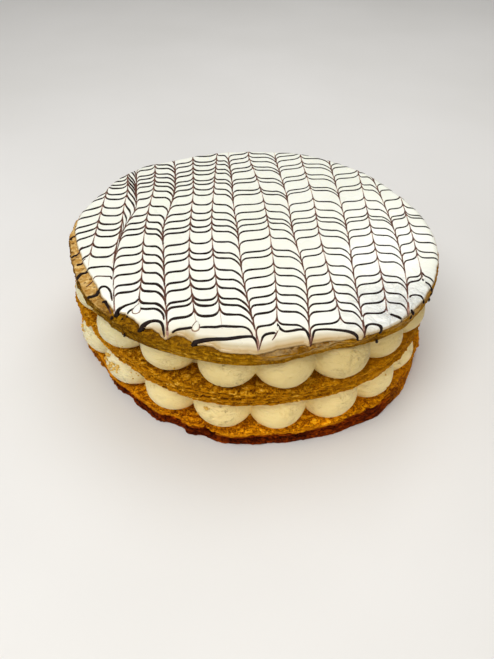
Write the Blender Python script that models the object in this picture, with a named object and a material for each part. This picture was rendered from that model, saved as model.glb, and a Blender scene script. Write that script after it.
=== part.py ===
"""Round napoleon cake: three discs of puff pastry with piped cream between them, under
white icing feathered with chocolate lines.

Metres, +Z up. The origin is the middle of the underside, and the front faces -Y. Outlines
and feathering are stated in cake radii, with x to the right and y towards the back.
"""

import math
import random

import bmesh
import bpy
from mathutils import Vector, noise

# Driving dimensions
CAKE_RADIUS = 0.127
GAP = 0.0003  # between one layer and the next
PASTRY_BOTTOM_TOP = 0.0112
CREAM_LOWER_TOP = 0.0374
PASTRY_MIDDLE_TOP = 0.0477
CREAM_UPPER_TOP = 0.0714
PASTRY_TOP_TOP = 0.0797
ICING_TOP = 0.0820

# Round outline of the pastry, as (degrees, radii) counter-clockwise from the right side
PASTRY_OUTLINE = (
    (0, 1.008), (30, 1.005), (50, 1.035), (70, 1.045), (92, 1.01), (120, 0.995), (142, 1.03),
    (160, 1.0), (182, 1.015), (200, 0.995), (240, 0.99), (262, 0.995), (285, 0.985), (320, 1.012),
)
# How much further out than the outline each disc reaches, as (degrees, radii)
EVEN = ((0, 0),)
BOTTOM_CHANGE = (
    (0, 0), (196, 0), (202, -0.010), (207, -0.043), (212, -0.051), (218, -0.042), (223, -0.041),
    (227, -0.050), (234, -0.034), (241, -0.023), (245, -0.039), (249, -0.034), (253, -0.017),
    (256.5, -0.034), (262, -0.012), (268, -0.005), (275, -0.010), (285, 0), (310, 0),
    (315, -0.010), (321, -0.022), (326, -0.028), (333, -0.008), (340, -0.004), (350, 0),
)
MIDDLE_CHANGE = (
    (0, -0.022), (22, 0), (184, 0), (194, 0.004), (203, 0.0), (211, -0.026), (220, -0.030),
    (232, -0.020), (242, -0.010), (254, 0), (300, -0.004), (308, -0.013), (320, -0.018),
    (334, -0.024), (350, -0.026),
)
TOP_CHANGE = (
    (0, 0), (184, 0), (190, -0.003), (203, -0.001), (210, 0.006), (217, 0.017), (232, 0.023),
    (240, 0.020), (250, 0.005), (260, 0), (276, 0.005), (283, 0.002), (288, -0.015), (294, -0.024),
    (299.5, 0.005), (307, -0.009), (318, 0),
)
# How far the lower edges of the bottom and top discs are drawn in, likewise
BOTTOM_TUCK = (
    (0, 0), (302, 0), (315, -0.030), (321, -0.040), (327, -0.042), (334, -0.012), (340, 0),
)
TOP_TUCK = (
    (0, 0), (214, 0), (220, 0.010), (228, 0.012), (238, 0.003), (246, 0), (268, 0), (278, 0.012),
    (283, 0.026), (294, 0.020), (299.5, 0.034), (307, 0.004), (315, 0),
)
# How far the icing's edge lies inside the outline, likewise
ICING_LEDGE = (
    (0, 0.008), (140, 0.008), (180, 0.012), (198, 0.045), (218, 0.052), (240, 0.035), (262, 0.03),
    (285, 0.035), (302, 0.02), (320, 0.008),
)

# Pastry: each disc is a stack of sheets, whose edges stand out or in as they baked
SHEETS = 4
RIM_SEGMENTS = 60
SHEET_STEP = 0.0003  # height of the step from one sheet to the next
TOP_FLAKE = 0.0009  # how far the top disc's rim wanders
LOWER_FLAKE = 0.0020
FLAKE_BACK = 0.3  # how far a rim lies behind its outline, as a share of how far it wanders
LEAN_SHARE = 0.35  # how much a sheet's two edges differ, likewise
BROAD_WAVES = 3.1  # of the noise that moves the rim, for each radius travelled
BROAD_SHARE = 0.7
CRAG_WAVES = 9.7
CRAG_SHARE = 0.6
LAYER_SPACING = 7.3  # keeps the noise of two sheets apart

# Cream: mounds piped side by side in a ring round a full middle
MOUNDS = 20
MOUND_RADIUS = 0.0192
MOUND_RING_RADIUS = 0.1067
LOWER_DRIFT = -0.0005  # how much further out the ring lies on the left
UPPER_DRIFT = 0.0025
MOUND_FULLNESS = 1.35  # above 1, a mound is pressed flat by the pastry above and below
MOUND_SIZE_SPREAD = 0.04
MOUND_PLACE_SPREAD = 0.0012
MOUND_SEGMENTS = 12
MOUND_RINGS = 7
MOUND_START = math.radians(-81)  # a gap between mounds lies near the very front
# Mounds piped off their even places: number, counted from the start, then (degrees, metres out)
LOWER_SHIFTS = {
    0: (0.2, 0.0012), 1: (0.8, 0.0012), 2: (-0.2, 0.0020), 3: (-2.0, 0.0002), 15: (-3.0, 0.0),
    16: (-3.5, 0.0015), 17: (-2.2, -0.0018), 18: (-0.3, -0.0007), 19: (0.5, -0.0008),
}
UPPER_SHIFTS = {
    0: (1.5, 0.0003), 1: (1.8, 0.0022), 2: (-0.3, 0.0030), 3: (-2.5, 0.0008), 4: (-1.5, 0.0015),
    15: (-3.0, 0.0), 16: (-4.2, -0.0006), 17: (-1.0, 0.0002), 18: (-0.4, -0.0016), 19: (2.0, 0.0),
}
CREAM_MIDDLE_RADIUS = 0.1055
# How far the cream's middle lies back between two mounds that stand apart, as (degrees, metres)
UPPER_HOLLOW = ((0, 0), (206, 0), (213, 0.010), (220, 0))

# Icing: a poured sheet, drawn out to a tip by each stroke that ends at the front
ICING_SEGMENTS = 120
ICING_EDGE_FALL = 0.0012  # how much further out the icing's lower edge reaches
ICING_EDGE_MARGIN = 0.004  # least pastry left beyond a tip, in radii
TIP_REACH = 0.035  # radii
TIP_HALF_ANGLE = math.radians(4.5)

# Chocolate lines: rows piped from side to side, then drawn into cusps by strokes
ROWS = (
    0.958, 0.908, 0.844, 0.766, 0.722, 0.612, 0.564, 0.45, 0.41, 0.292, 0.208, 0.128, 0.084,
    0.016, -0.07, -0.186, -0.246, -0.348, -0.412, -0.502, -0.572, -0.638, -0.698, -0.792,
)
ROW_SLANT = 0.134  # how much a row rises for each radius to the right
ROW_X = 0.14  # where a row has the height above
AWAY = 1
TOWARDS = -1
# Each stroke's direction and its sideways places at y = 0.8, 0.4, 0, -0.4 and -0.8
STROKES = (
    (AWAY, (-0.90, -0.89, -0.868, -0.835, -0.77)),
    (AWAY, (-0.82, -0.77, -0.735, -0.712, -0.69)),
    (TOWARDS, (-0.75, -0.715, -0.71, -0.70, -0.624)),
    (AWAY, (-0.655, -0.62, -0.61, -0.56, -0.527)),
    (TOWARDS, (-0.535, -0.49, -0.503, -0.45, -0.388)),
    (AWAY, (-0.405, -0.378, -0.36, -0.322, -0.255)),
    (AWAY, (-0.26, -0.254, -0.24, -0.192, -0.138)),
    (TOWARDS, (-0.165, -0.137, -0.098, -0.055, 0.0)),
    (AWAY, (-0.025, 0.045, 0.085, 0.11, 0.116)),
    (TOWARDS, (0.14, 0.19, 0.207, 0.266, 0.268)),
    (AWAY, (0.31, 0.348, 0.36, 0.388, 0.417)),
    (TOWARDS, (0.488, 0.508, 0.518, 0.51, 0.514)),
    (AWAY, (0.66, 0.66, 0.654, 0.65, 0.63)),
    (TOWARDS, (0.73, 0.765, 0.785, 0.772, 0.72)),
    (AWAY, (0.89, 0.883, 0.878, 0.857, 0.83)),
)
STROKE_FIRST_Y = 0.8
STROKE_STEP_Y = 0.4
# The last piped line, along the front edge, as (x, y) in radii
FRONT_LINE = (
    (-0.245, -0.915), (-0.18, -0.905), (-0.1, -0.9), (0.0, -0.885), (0.1, -0.86), (0.2, -0.835),
    (0.3, -0.825), (0.4, -0.835),
)
CUSP_HEIGHT = 0.115  # radii, from the row to the tip of a cusp
SHOULDER_HEIGHT = 0.022  # the same, where the row bends towards it
SHOULDER_SHARE = 0.28  # place of that bend between two strokes
LINE_WIDTH = 0.0017
FRONT_LINE_WIDTH = 0.0028
LINE_HEIGHT = 0.0005
LINE_ROOT = 0.0007  # how deep a line sits in the icing
LINE_EDGE_MARGIN = 0.022  # radii left free at the icing's edge

# Colours as seen, 0 to 255
PASTRY_COLOUR = (176, 116, 46)
CREAM_COLOUR = (232, 208, 150)
ICING_COLOUR = (246, 245, 233)

SMALLEST = 1e-6  # distance under which two points are one
SMOOTH_ANGLE = math.radians(35)


def clear_scene():
    for obj in list(bpy.data.objects):
        bpy.data.objects.remove(obj, do_unlink=True)


def make_collection(name):
    collection = bpy.data.collections.new(name)
    bpy.context.scene.collection.children.link(collection)
    return collection


def linear(channel):
    """Scene-linear value of one 0 to 255 channel."""
    share = channel / 255
    return share / 12.92 if share <= 0.04045 else ((share + 0.055) / 1.055) ** 2.4


def make_material(name, colour, roughness, subsurface=0.0):
    material = bpy.data.materials.new(name)
    material.use_nodes = True
    shader = material.node_tree.nodes["Principled BSDF"]
    shader.inputs["Base Color"].default_value = (*(linear(c) for c in colour), 1)
    shader.inputs["Roughness"].default_value = roughness
    shader.inputs["Metallic"].default_value = 0.0
    shader.inputs["Subsurface Weight"].default_value = subsurface
    return material


def make_object(name, bm, collection, material=None):
    """Object from a finished bmesh, with its faces turned outwards."""
    bmesh.ops.recalc_face_normals(bm, faces=bm.faces)
    mesh = bpy.data.meshes.new(name)
    bm.to_mesh(mesh)
    bm.free()
    obj = bpy.data.objects.new(name, mesh)
    collection.objects.link(obj)
    if material:
        mesh.materials.append(material)
    return obj


def fuse(obj, pieces):
    """Joins every object of the pieces' collection into this one and removes them."""
    union = obj.modifiers.new("fuse", "BOOLEAN")
    union.operation = "UNION"
    union.operand_type = "COLLECTION"
    union.collection = pieces
    union.solver = "EXACT"
    bpy.context.view_layer.update()
    graph = bpy.context.evaluated_depsgraph_get()
    joined = bpy.data.meshes.new_from_object(obj.evaluated_get(graph))
    obj.modifiers.remove(union)
    obj.data = joined
    for piece in list(pieces.objects):
        bpy.data.objects.remove(piece, do_unlink=True)


def around(stations, angle):
    """Value at an angle, eased between (degrees, value) stations round the cake."""
    degrees = math.degrees(angle) % 360
    closed = (*stations, (stations[0][0] + 360, stations[0][1]))
    for (start, low), (end, high) in zip(closed, closed[1:]):
        if start <= degrees <= end:
            share = (degrees - start) / (end - start)
            return low + (high - low) * (1 - math.cos(math.pi * share)) / 2
    return stations[0][1]


def along(values, place):
    """Smooth value at a place, counted in steps, through equally spaced values."""
    last = len(values) - 1
    place = min(max(place, 0), last)
    index = min(int(place), last - 1)
    share = place - index
    start, end = values[index], values[index + 1]
    before = values[index - 1] if index > 0 else 2 * start - end
    after = values[index + 2] if index + 2 <= last else 2 * end - start
    bend = 2 * before - 5 * start + 4 * end - after + share * (3 * (start - end) + after - before)
    return start + share / 2 * (end - before + share * bend)


def stroke_x(stroke, y):
    return along(stroke[1], (STROKE_FIRST_Y - y) / STROKE_STEP_Y)


def tip_share(angle):
    """How far the icing is drawn out at an angle by the strokes that end at the front, 0 to 1."""
    share = 0.0
    for way, places in STROKES:
        if way == TOWARDS:
            tip = -math.acos(places[-1])
            away = abs(math.remainder(angle - tip, math.tau))
            share = max(share, 1 - away / TIP_HALF_ANGLE)
    return share


def icing_radius(angle):
    outline = around(PASTRY_OUTLINE, angle)
    reached = outline - around(ICING_LEDGE, angle) + TIP_REACH * tip_share(angle)
    return CAKE_RADIUS * min(reached, outline + around(TOP_CHANGE, angle) - ICING_EDGE_MARGIN)


def flake(angle, sheet, seed):
    """How far a sheet's edge stands out at an angle, within -1 and 1: broad waves and crags."""
    layer = seed + LAYER_SPACING * sheet
    x, y = math.cos(angle), math.sin(angle)
    broad = noise.noise(Vector((BROAD_WAVES * x, BROAD_WAVES * y, layer)))
    crag = noise.noise(Vector((CRAG_WAVES * x, CRAG_WAVES * y, -layer)))
    return BROAD_SHARE * broad + CRAG_SHARE * crag


def pastry_profile(bottom, top):
    """(radius, height) points down the rim, from the top's middle to the bottom's."""
    thickness = (top - bottom) / SHEETS
    points = [(0.0, top)]
    for sheet in reversed(range(SHEETS)):
        low = bottom + sheet * thickness
        step = SHEET_STEP if sheet else 0.0
        points.append((CAKE_RADIUS, low + thickness))
        points.append((CAKE_RADIUS, low + step))
    points.append((0.0, bottom))
    return points


def make_pastry(name, bottom, top, change, tuck, reach, seed, collection, material):
    """Disc of sheets: a turned rim whose rings then wander like the sheets' edges."""
    bm = bmesh.new()
    profile = [bm.verts.new((radius, 0, z)) for radius, z in pastry_profile(bottom, top)]
    for upper, lower in zip(profile, profile[1:]):
        bm.edges.new((upper, lower))
    bmesh.ops.spin(
        bm, geom=bm.verts[:] + bm.edges[:], axis=(0, 0, 1), cent=(0, 0, 0), angle=math.tau,
        steps=RIM_SEGMENTS, use_merge=True,
    )
    bmesh.ops.remove_doubles(bm, verts=bm.verts, dist=SMALLEST)
    rim = [vert for vert in bm.verts if vert.co.xy.length > CAKE_RADIUS / 2]
    heights = sorted({round(vert.co.z, 6) for vert in rim})
    for vert in rim:
        angle = math.atan2(vert.co.y, vert.co.x)
        sheet, upper_edge = divmod(heights.index(round(vert.co.z, 6)), 2)
        lean = flake(angle, sheet + upper_edge / 2, 2 * seed)
        wander = flake(angle, sheet, seed) + LEAN_SHARE * lean - FLAKE_BACK
        low = (top - vert.co.z) / (top - bottom)
        outline = around(PASTRY_OUTLINE, angle) + around(change, angle) - low * around(tuck, angle)
        radius = CAKE_RADIUS * outline + reach * wander
        vert.co.x = radius * math.cos(angle)
        vert.co.y = radius * math.sin(angle)
    return make_object(name, bm, collection, material)


def make_mound(bottom, top, angle, ring, draw, collection):
    """One piped mound: a squashed ball, flat where pastry presses it."""
    half = (top - bottom) / 2
    flat = half - GAP / 2
    radius = MOUND_RADIUS * (1 + draw.uniform(-MOUND_SIZE_SPREAD, MOUND_SIZE_SPREAD))
    ring += draw.uniform(-MOUND_PLACE_SPREAD, MOUND_PLACE_SPREAD)
    bm = bmesh.new()
    bmesh.ops.create_uvsphere(bm, u_segments=MOUND_SEGMENTS, v_segments=MOUND_RINGS, radius=1)
    for vert in bm.verts:
        height = MOUND_FULLNESS * half * vert.co.z
        vert.co = (radius * vert.co.x, radius * vert.co.y, min(max(height, -flat), flat))
    bmesh.ops.remove_doubles(bm, verts=bm.verts, dist=SMALLEST)
    mound = make_object("mound", bm, collection)
    mound.rotation_euler.z = draw.uniform(0, math.tau)
    mound.location = (ring * math.cos(angle), ring * math.sin(angle), (top + bottom) / 2)


def make_cream(name, bottom, top, drift, shifts, hollow, seed, collection, pieces, material):
    """Layer of cream: a full middle with a ring of mounds at its side."""
    bm = bmesh.new()
    bmesh.ops.create_cone(
        bm, cap_ends=True, segments=3 * MOUNDS, radius1=CREAM_MIDDLE_RADIUS,
        radius2=CREAM_MIDDLE_RADIUS, depth=top - bottom,
    )
    for vert in bm.verts:
        vert.co.xy *= 1 - around(hollow, math.atan2(vert.co.y, vert.co.x)) / CREAM_MIDDLE_RADIUS
        vert.co.z += (top + bottom) / 2
    obj = make_object(name, bm, collection, material)
    draw = random.Random(seed)
    for index in range(MOUNDS):
        degrees, outwards = shifts.get(index, (0.0, 0.0))
        angle = MOUND_START + index * math.tau / MOUNDS + math.radians(degrees)
        ring = MOUND_RING_RADIUS + drift * max(0, -math.cos(angle)) + outwards
        make_mound(bottom, top, angle, ring, draw, pieces)
    fuse(obj, pieces)
    return obj


def row_level(row, x):
    return row + ROW_SLANT * (x - ROW_X)


def row_stations(row):
    """(x, y) points of one feathered row: a cusp at each stroke, and a bend on each side of it."""
    stations = []
    places = []
    for stroke in STROKES:
        level = row_level(row, stroke_x(stroke, row))
        places.append((stroke_x(stroke, level), stroke[0]))
    for (x, way), (next_x, next_way) in zip(places, places[1:]):
        near = x + SHOULDER_SHARE * (next_x - x)
        far = next_x - SHOULDER_SHARE * (next_x - x)
        stations.append((x, row_level(row, x) + way * CUSP_HEIGHT))
        stations.append((near, row_level(row, near) + way * SHOULDER_HEIGHT))
        stations.append((far, row_level(row, far) + next_way * SHOULDER_HEIGHT))
    x, way = places[-1]
    stations.append((x, row_level(row, x) + way * CUSP_HEIGHT))
    return stations


def on_icing(x, y):
    reach = math.hypot(x, y) + LINE_EDGE_MARGIN
    return reach * CAKE_RADIUS < icing_radius(math.atan2(y, x))


def row_runs(row):
    """The stretches of one row that lie on the icing."""
    runs = [[]]
    for x, y in row_stations(row):
        if on_icing(x, y):
            runs[-1].append((x, y))
        elif runs[-1]:
            runs.append([])
    return [run for run in runs if len(run) > 1]


def make_line(run, width, pieces):
    """One chocolate line: a low ridge whose root sits in the icing."""
    last = len(run) - 1
    bm = bmesh.new()
    bmesh.ops.create_grid(bm, x_segments=last, y_segments=2, size=1)
    for vert in bm.verts:
        x, y = run[round((vert.co.x + 1) / 2 * last)]
        side = round(vert.co.y)
        height = -GAP if side else LINE_HEIGHT
        vert.co = (x * CAKE_RADIUS, y * CAKE_RADIUS + side * width / 2, ICING_TOP + height)
    deeper = bmesh.ops.extrude_face_region(bm, geom=bm.faces[:], use_keep_orig=True)
    for item in deeper["geom"]:
        if isinstance(item, bmesh.types.BMVert):
            item.co.z = ICING_TOP - LINE_ROOT
    make_object("line", bm, pieces)


def make_icing(collection, pieces, material):
    """Sheet of icing to its uneven edge, with the chocolate lines fused on."""
    bottom = PASTRY_TOP_TOP + GAP
    bm = bmesh.new()
    bmesh.ops.create_cone(
        bm, cap_ends=True, segments=ICING_SEGMENTS, radius1=1, radius2=1, depth=ICING_TOP - bottom,
    )
    for vert in bm.verts:
        angle = math.atan2(vert.co.y, vert.co.x)
        radius = icing_radius(angle) - (ICING_EDGE_FALL if vert.co.z > 0 else 0)
        vert.co.x = radius * math.cos(angle)
        vert.co.y = radius * math.sin(angle)
        vert.co.z += (ICING_TOP + bottom) / 2
    obj = make_object("icing", bm, collection, material)
    for row in ROWS:
        for run in row_runs(row):
            make_line(run, LINE_WIDTH, pieces)
    make_line(FRONT_LINE, FRONT_LINE_WIDTH, pieces)
    fuse(obj, pieces)
    return obj


def shade(obj):
    obj.data.shade_smooth()
    obj.data.set_sharp_from_angle(angle=SMOOTH_ANGLE)


def main():
    clear_scene()
    cake = make_collection("napoleon_cake")
    pieces = make_collection("joined_pieces")
    crust = make_material("puff_pastry", PASTRY_COLOUR, 0.75)
    cream = make_material("cream", CREAM_COLOUR, 0.45, subsurface=0.2)
    icing = make_material("icing", ICING_COLOUR, 0.2, subsurface=0.1)
    parts = (
        make_pastry(
            "pastry_bottom", 0.0, PASTRY_BOTTOM_TOP, BOTTOM_CHANGE, BOTTOM_TUCK, LOWER_FLAKE, 11,
            cake, crust,
        ),
        make_cream(
            "cream_lower", PASTRY_BOTTOM_TOP + GAP, CREAM_LOWER_TOP, LOWER_DRIFT, LOWER_SHIFTS, EVEN,
            3, cake, pieces, cream,
        ),
        make_pastry(
            "pastry_middle", CREAM_LOWER_TOP + GAP, PASTRY_MIDDLE_TOP, MIDDLE_CHANGE, EVEN,
            LOWER_FLAKE, 23, cake, crust,
        ),
        make_cream(
            "cream_upper", PASTRY_MIDDLE_TOP + GAP, CREAM_UPPER_TOP, UPPER_DRIFT, UPPER_SHIFTS,
            UPPER_HOLLOW, 5, cake, pieces, cream,
        ),
        make_pastry(
            "pastry_top", CREAM_UPPER_TOP + GAP, PASTRY_TOP_TOP, TOP_CHANGE, TOP_TUCK, TOP_FLAKE, 37,
            cake, crust,
        ),
        make_icing(cake, pieces, icing),
    )
    bpy.data.collections.remove(pieces)
    for part in parts:
        shade(part)


main()
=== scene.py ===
"""Looks of the round napoleon cake: flaky pastry, piped cream and feathered icing.

Metres, +Z up, front towards -Y. Outlines are stated in cake radii and the feathering in
thousandths of one, with x to the right and y towards the back.
"""

import math
import random
from collections import namedtuple

import bmesh
import bpy
import numpy as np
from mathutils import Matrix, Vector, noise


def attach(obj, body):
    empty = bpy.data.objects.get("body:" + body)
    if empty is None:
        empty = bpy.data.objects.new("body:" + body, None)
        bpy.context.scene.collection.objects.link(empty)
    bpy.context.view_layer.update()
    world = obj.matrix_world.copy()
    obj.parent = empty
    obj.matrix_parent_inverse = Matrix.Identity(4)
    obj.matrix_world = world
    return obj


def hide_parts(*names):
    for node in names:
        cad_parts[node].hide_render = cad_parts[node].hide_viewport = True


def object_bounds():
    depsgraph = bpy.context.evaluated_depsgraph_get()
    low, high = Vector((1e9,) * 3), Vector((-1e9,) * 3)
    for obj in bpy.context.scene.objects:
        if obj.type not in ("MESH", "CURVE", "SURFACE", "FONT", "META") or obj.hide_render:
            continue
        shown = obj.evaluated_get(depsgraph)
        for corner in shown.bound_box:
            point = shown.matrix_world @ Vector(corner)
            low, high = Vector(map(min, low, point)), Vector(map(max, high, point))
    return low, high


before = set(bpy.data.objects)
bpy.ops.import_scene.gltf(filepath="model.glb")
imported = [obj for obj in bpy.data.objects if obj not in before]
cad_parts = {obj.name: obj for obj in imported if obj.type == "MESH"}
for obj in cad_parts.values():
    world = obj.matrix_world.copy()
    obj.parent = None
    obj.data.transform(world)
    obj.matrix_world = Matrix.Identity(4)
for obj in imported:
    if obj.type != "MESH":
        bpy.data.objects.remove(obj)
CAD_LOW, CAD_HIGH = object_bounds()

# Driving dimensions, as in the solids that these pieces replace
CAKE_RADIUS = 0.127
GAP = 0.0003
PASTRY_BOTTOM_TOP = 0.0112
CREAM_LOWER_TOP = 0.0374
PASTRY_MIDDLE_TOP = 0.0477
CREAM_UPPER_TOP = 0.0714
PASTRY_TOP_TOP = 0.0797
ICING_TOP = 0.0820
BOX_MARGIN = 0.00002  # kept free inside the solids' box

# Round outline of the pastry, as (degrees, radii) counter-clockwise from the right side
PASTRY_OUTLINE = (
    (0, 1.008), (30, 1.005), (50, 1.035), (70, 1.045), (92, 1.01), (120, 0.995), (142, 1.03),
    (160, 1.0), (182, 1.015), (200, 0.995), (240, 0.99), (262, 0.995), (285, 0.985), (320, 1.012),
)
# How much further out than the outline each disc reaches, as (degrees, radii)
EVEN = ((0, 0),)
BOTTOM_CHANGE = (
    (0, 0), (196, 0), (202, -0.010), (207, -0.043), (212, -0.051), (218, -0.042), (223, -0.041),
    (227, -0.050), (234, -0.034), (241, -0.023), (245, -0.039), (249, -0.034), (253, -0.017),
    (256.5, -0.034), (262, -0.012), (268, -0.005), (275, -0.010), (285, 0), (310, 0),
    (315, -0.010), (321, -0.022), (326, -0.028), (333, -0.008), (340, -0.004), (350, 0),
)
MIDDLE_CHANGE = (
    (0, -0.022), (22, 0), (184, 0), (194, 0.004), (203, 0.0), (211, -0.026), (220, -0.030),
    (232, -0.020), (242, -0.010), (254, 0), (300, -0.004), (308, -0.013), (320, -0.018),
    (334, -0.024), (350, -0.026),
)
TOP_CHANGE = (
    (0, 0), (184, 0), (190, -0.003), (203, -0.001), (210, 0.006), (217, 0.017), (232, 0.023),
    (240, 0.020), (250, 0.005), (260, 0), (276, 0.005), (283, 0.002), (288, -0.015), (294, -0.024),
    (299.5, 0.005), (307, -0.009), (318, 0),
)
# How far the lower edges of the bottom and top discs are drawn in, likewise
BOTTOM_TUCK = (
    (0, 0), (302, 0), (315, -0.030), (321, -0.040), (327, -0.042), (334, -0.012), (340, 0),
)
TOP_TUCK = (
    (0, 0), (214, 0), (220, 0.010), (228, 0.012), (238, 0.003), (246, 0), (268, 0), (278, 0.012),
    (283, 0.026), (294, 0.020), (299.5, 0.034), (307, 0.004), (315, 0),
)
# How far the icing's edge lies inside the outline, likewise
ICING_LEDGE = (
    (0, 0.006), (60, 0.012), (110, 0.006), (126, 0.008), (133, -0.004), (140, 0.01), (172, 0.01),
    (181, 0.027), (189, 0.045), (199, 0.054), (205, 0.062), (209, 0.065), (213, 0.063),
    (217, 0.056), (220.5, 0.042), (222, 0.039), (225, 0.036), (227.3, 0.028), (229.3, 0.008),
    (230.2, 0.034), (231.5, 0.045), (234, 0.044), (237, 0.031), (239, 0.012), (240, 0.026),
    (241.7, 0.038), (244, 0.031), (246, 0.013), (247.1, 0.006), (248.2, 0.04), (249, 0.054),
    (250.8, 0.058), (253.4, 0.045), (254.6, 0.028), (256, 0.029), (257.5, 0.036), (259.7, 0.036),
    (261.2, 0.024), (262.3, 0.014), (265, 0.011), (269, 0.012), (271.6, 0.006), (273, 0.012),
    (275.3, 0.022), (277.3, 0.038), (281, 0.043), (284.4, 0.043), (285.6, 0.03), (287.2, 0.045),
    (290.4, 0.043), (295.3, 0.03), (298, 0.026), (299.6, 0.002), (301.8, 0.016), (305.4, 0.01),
    (312, 0.008), (330, 0.01),
)

# Pastry rims, whose sheets wander as in the solids
SHEETS = 4
TOP_FLAKE = 0.0009
LOWER_FLAKE = 0.0020
FLAKE_BACK = 0.3
LEAN_SHARE = 0.35
BROAD_WAVES = 3.1
BROAD_SHARE = 0.7
CRAG_WAVES = 9.7
CRAG_SHARE = 0.6
LAYER_SPACING = 7.3
# Their finer relief: leaves of dough with grooves between them, crags, hollows and pores
PASTRY_COLUMNS = 1080
SIDE_ROW = 0.00028  # height of one row of faces on a rim
CORNER_STEPS = 5
UNDER_EDGE = 0.0004  # size of the bevel at the underside
LEAF_PITCH = 0.00115  # height of one leaf
LEAF_REACH = 0.0019
GROOVE_DEPTH = 0.0014
SIDE_SET_BACK = 0.0002
SIDE_DEPTHS = (0.0011, 0.0013, 0.0007, 0.0004)  # crags, hollows, broad waves, pores
TOP_DEPTHS = (0.0011, 0.0010, 0.0004, 0.0005)
CRAG_SIZE = 0.0046
PORE_SIZE = 0.0019
WAVE_SIZE = 0.014
RIM_ZONE = 0.007  # how far in from the rim the top is rugged
CALM_TOP = 0.25  # share of that relief further in
LEAF_SWAY = 0.0016  # how far a leaf rises and falls along the rim
LEAF_SHRED = 0.0005  # and how far crags bend it
TOP_INSETS = (
    0.048, 0.038, 0.031, 0.026, 0.0225, 0.020, 0.018, 0.0162, 0.0146, 0.0131, 0.0117, 0.0104,
    0.0092, 0.0081, 0.0071, 0.0062, 0.0054, 0.0047, 0.0040, 0.0034, 0.0028, 0.0023, 0.0018,
)
UNDER_INSETS = (0.0012, 0.0025, 0.0045, 0.008, 0.014, 0.025, 0.045)
# How rugged each disc is, as (degrees, share)
RUGGED_BOTTOM = ((0, 0.5), (90, 0.9), (180, 1), (230, 1), (275, 0.85), (305, 0.6), (330, 0.4))
RUGGED_MIDDLE = ((0, 0.5), (90, 0.8), (180, 1), (250, 1), (285, 0.6), (310, 0.3), (335, 0.35))
RUGGED_TOP = ((0, 0.4), (90, 0.5), (150, 0.8), (180, 0.9), (222, 0.9), (250, 0.6), (270, 0.5))
# A disc's heights and outline, how far its sheets wander, the size of its upper corner, and how
# strong its relief is and how far its side is hollowed
Disc = namedtuple("Disc", "bottom top change tuck reach seed corner rugged strength undercut")
BOTTOM_DISC = Disc(
    0.0, PASTRY_BOTTOM_TOP, BOTTOM_CHANGE, BOTTOM_TUCK, LOWER_FLAKE, 11, 0.0008, RUGGED_BOTTOM,
    1.0, 0.0014,
)
MIDDLE_DISC = Disc(
    CREAM_LOWER_TOP + GAP, PASTRY_MIDDLE_TOP, MIDDLE_CHANGE, EVEN, LOWER_FLAKE, 23, 0.0008,
    RUGGED_MIDDLE, 1.0, 0.0,
)
TOP_DISC = Disc(
    CREAM_UPPER_TOP + GAP, PASTRY_TOP_TOP, TOP_CHANGE, TOP_TUCK, TOP_FLAKE, 37, 0.0012, RUGGED_TOP,
    0.8, 0.0,
)
# Thin glaze that ran over the top disc's side, with painted highlight streaks past about 305
# degrees, as (degrees, share)
GLAZE_AND_GLINTS = (
    (0, 0), (270, 0), (278, 0.6), (290, 0.9), (298, 0.2), (308, 0.2), (316, 0.7), (326, 0.5),
    (336, 0),
)
# Least and greatest length, width, thickness, droop, twist, tone and reach of a loose leaf
LOOSE_LEAF = (
    (0.003, 0.010), (0.0007, 0.0018), (0.00015, 0.0003), (-0.25, 0.35), (-0.5, 0.5), (0.3, 1.0),
    (0.0002, 0.0010),
)
LOOSE_LEAF_STEPS = 6
LOOSE_LEAF_RIPPLE = 0.0003
LOOSE_LEAF_TWIST = 0.0015
LOOSE_LEAF_SECTION = ((0, 0.5), (1, 0.5), (1, -0.5), (0, -0.5))  # share inwards, share up

# Cream: mounds piped side by side in a ring round a full middle
MOUNDS = 20
MOUND_RADIUS = 0.0192
MOUND_RING_RADIUS = 0.1067
LOWER_DRIFT = -0.0005  # how much further out the ring lies on the left
UPPER_DRIFT = 0.0025
MOUND_FULLNESS = 1.35  # above 1, a mound is pressed flat by the pastry above and below
MOUND_SIZE_SPREAD = 0.04
MOUND_PLACE_SPREAD = 0.0012
MOUND_START = math.radians(-81)
# Mounds piped off their even places: number, counted from the start, then (degrees, metres out)
LOWER_SHIFTS = {
    0: (0.2, 0.0012), 1: (0.8, 0.0012), 2: (-0.2, 0.0020), 3: (-2.0, 0.0002), 15: (-3.0, 0.0),
    16: (-3.5, 0.0015), 17: (-2.2, -0.0018), 18: (-0.3, -0.0007), 19: (0.5, -0.0008),
}
UPPER_SHIFTS = {
    0: (1.5, 0.0003), 1: (1.8, 0.0022), 2: (-0.3, 0.0030), 3: (-2.5, 0.0008), 4: (-1.5, 0.0015),
    15: (-3.0, 0.0), 16: (-4.2, -0.0006), 17: (-1.0, 0.0002), 18: (-0.4, -0.0016), 19: (2.0, 0.0),
}
# How far the cream's middle lies back between two mounds that stand apart, as (degrees, metres)
UPPER_HOLLOW = ((0, 0), (206, 0), (213, 0.010), (220, 0))
CREAM_MIDDLE_RADIUS = 0.1055
CREAM_COLUMNS = 1440
CREAM_ROWS = 32
SWELL_DEPTH, SWELL_SIZE = 0.00040, 0.011
RIPPLE_DEPTH, RIPPLE_SIZE = 0.00012, 0.0035
DENT_DEPTH, DENT_SIZE = 0.00060, 0.0038
Layer = namedtuple("Layer", "bottom top mounds hollow")

# Icing
ICING_COLUMNS = 960
ICING_LIP = 0.0036  # width of its rounded edge
ICING_FOOT = 0.00005  # how far its underside lies above the pastry
ICING_WAVE, ICING_WAVE_SIZE = 0.00022, 0.028
ICING_EDGE_RIPPLE = 0.0005
ICING_INNER_RINGS = 52
ICING_INSETS = (
    0.0050, 0.0042, 0.0035, 0.0029, 0.0023, 0.0018, 0.0013, 0.0009, 0.0005, 0.0002,
)

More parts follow.
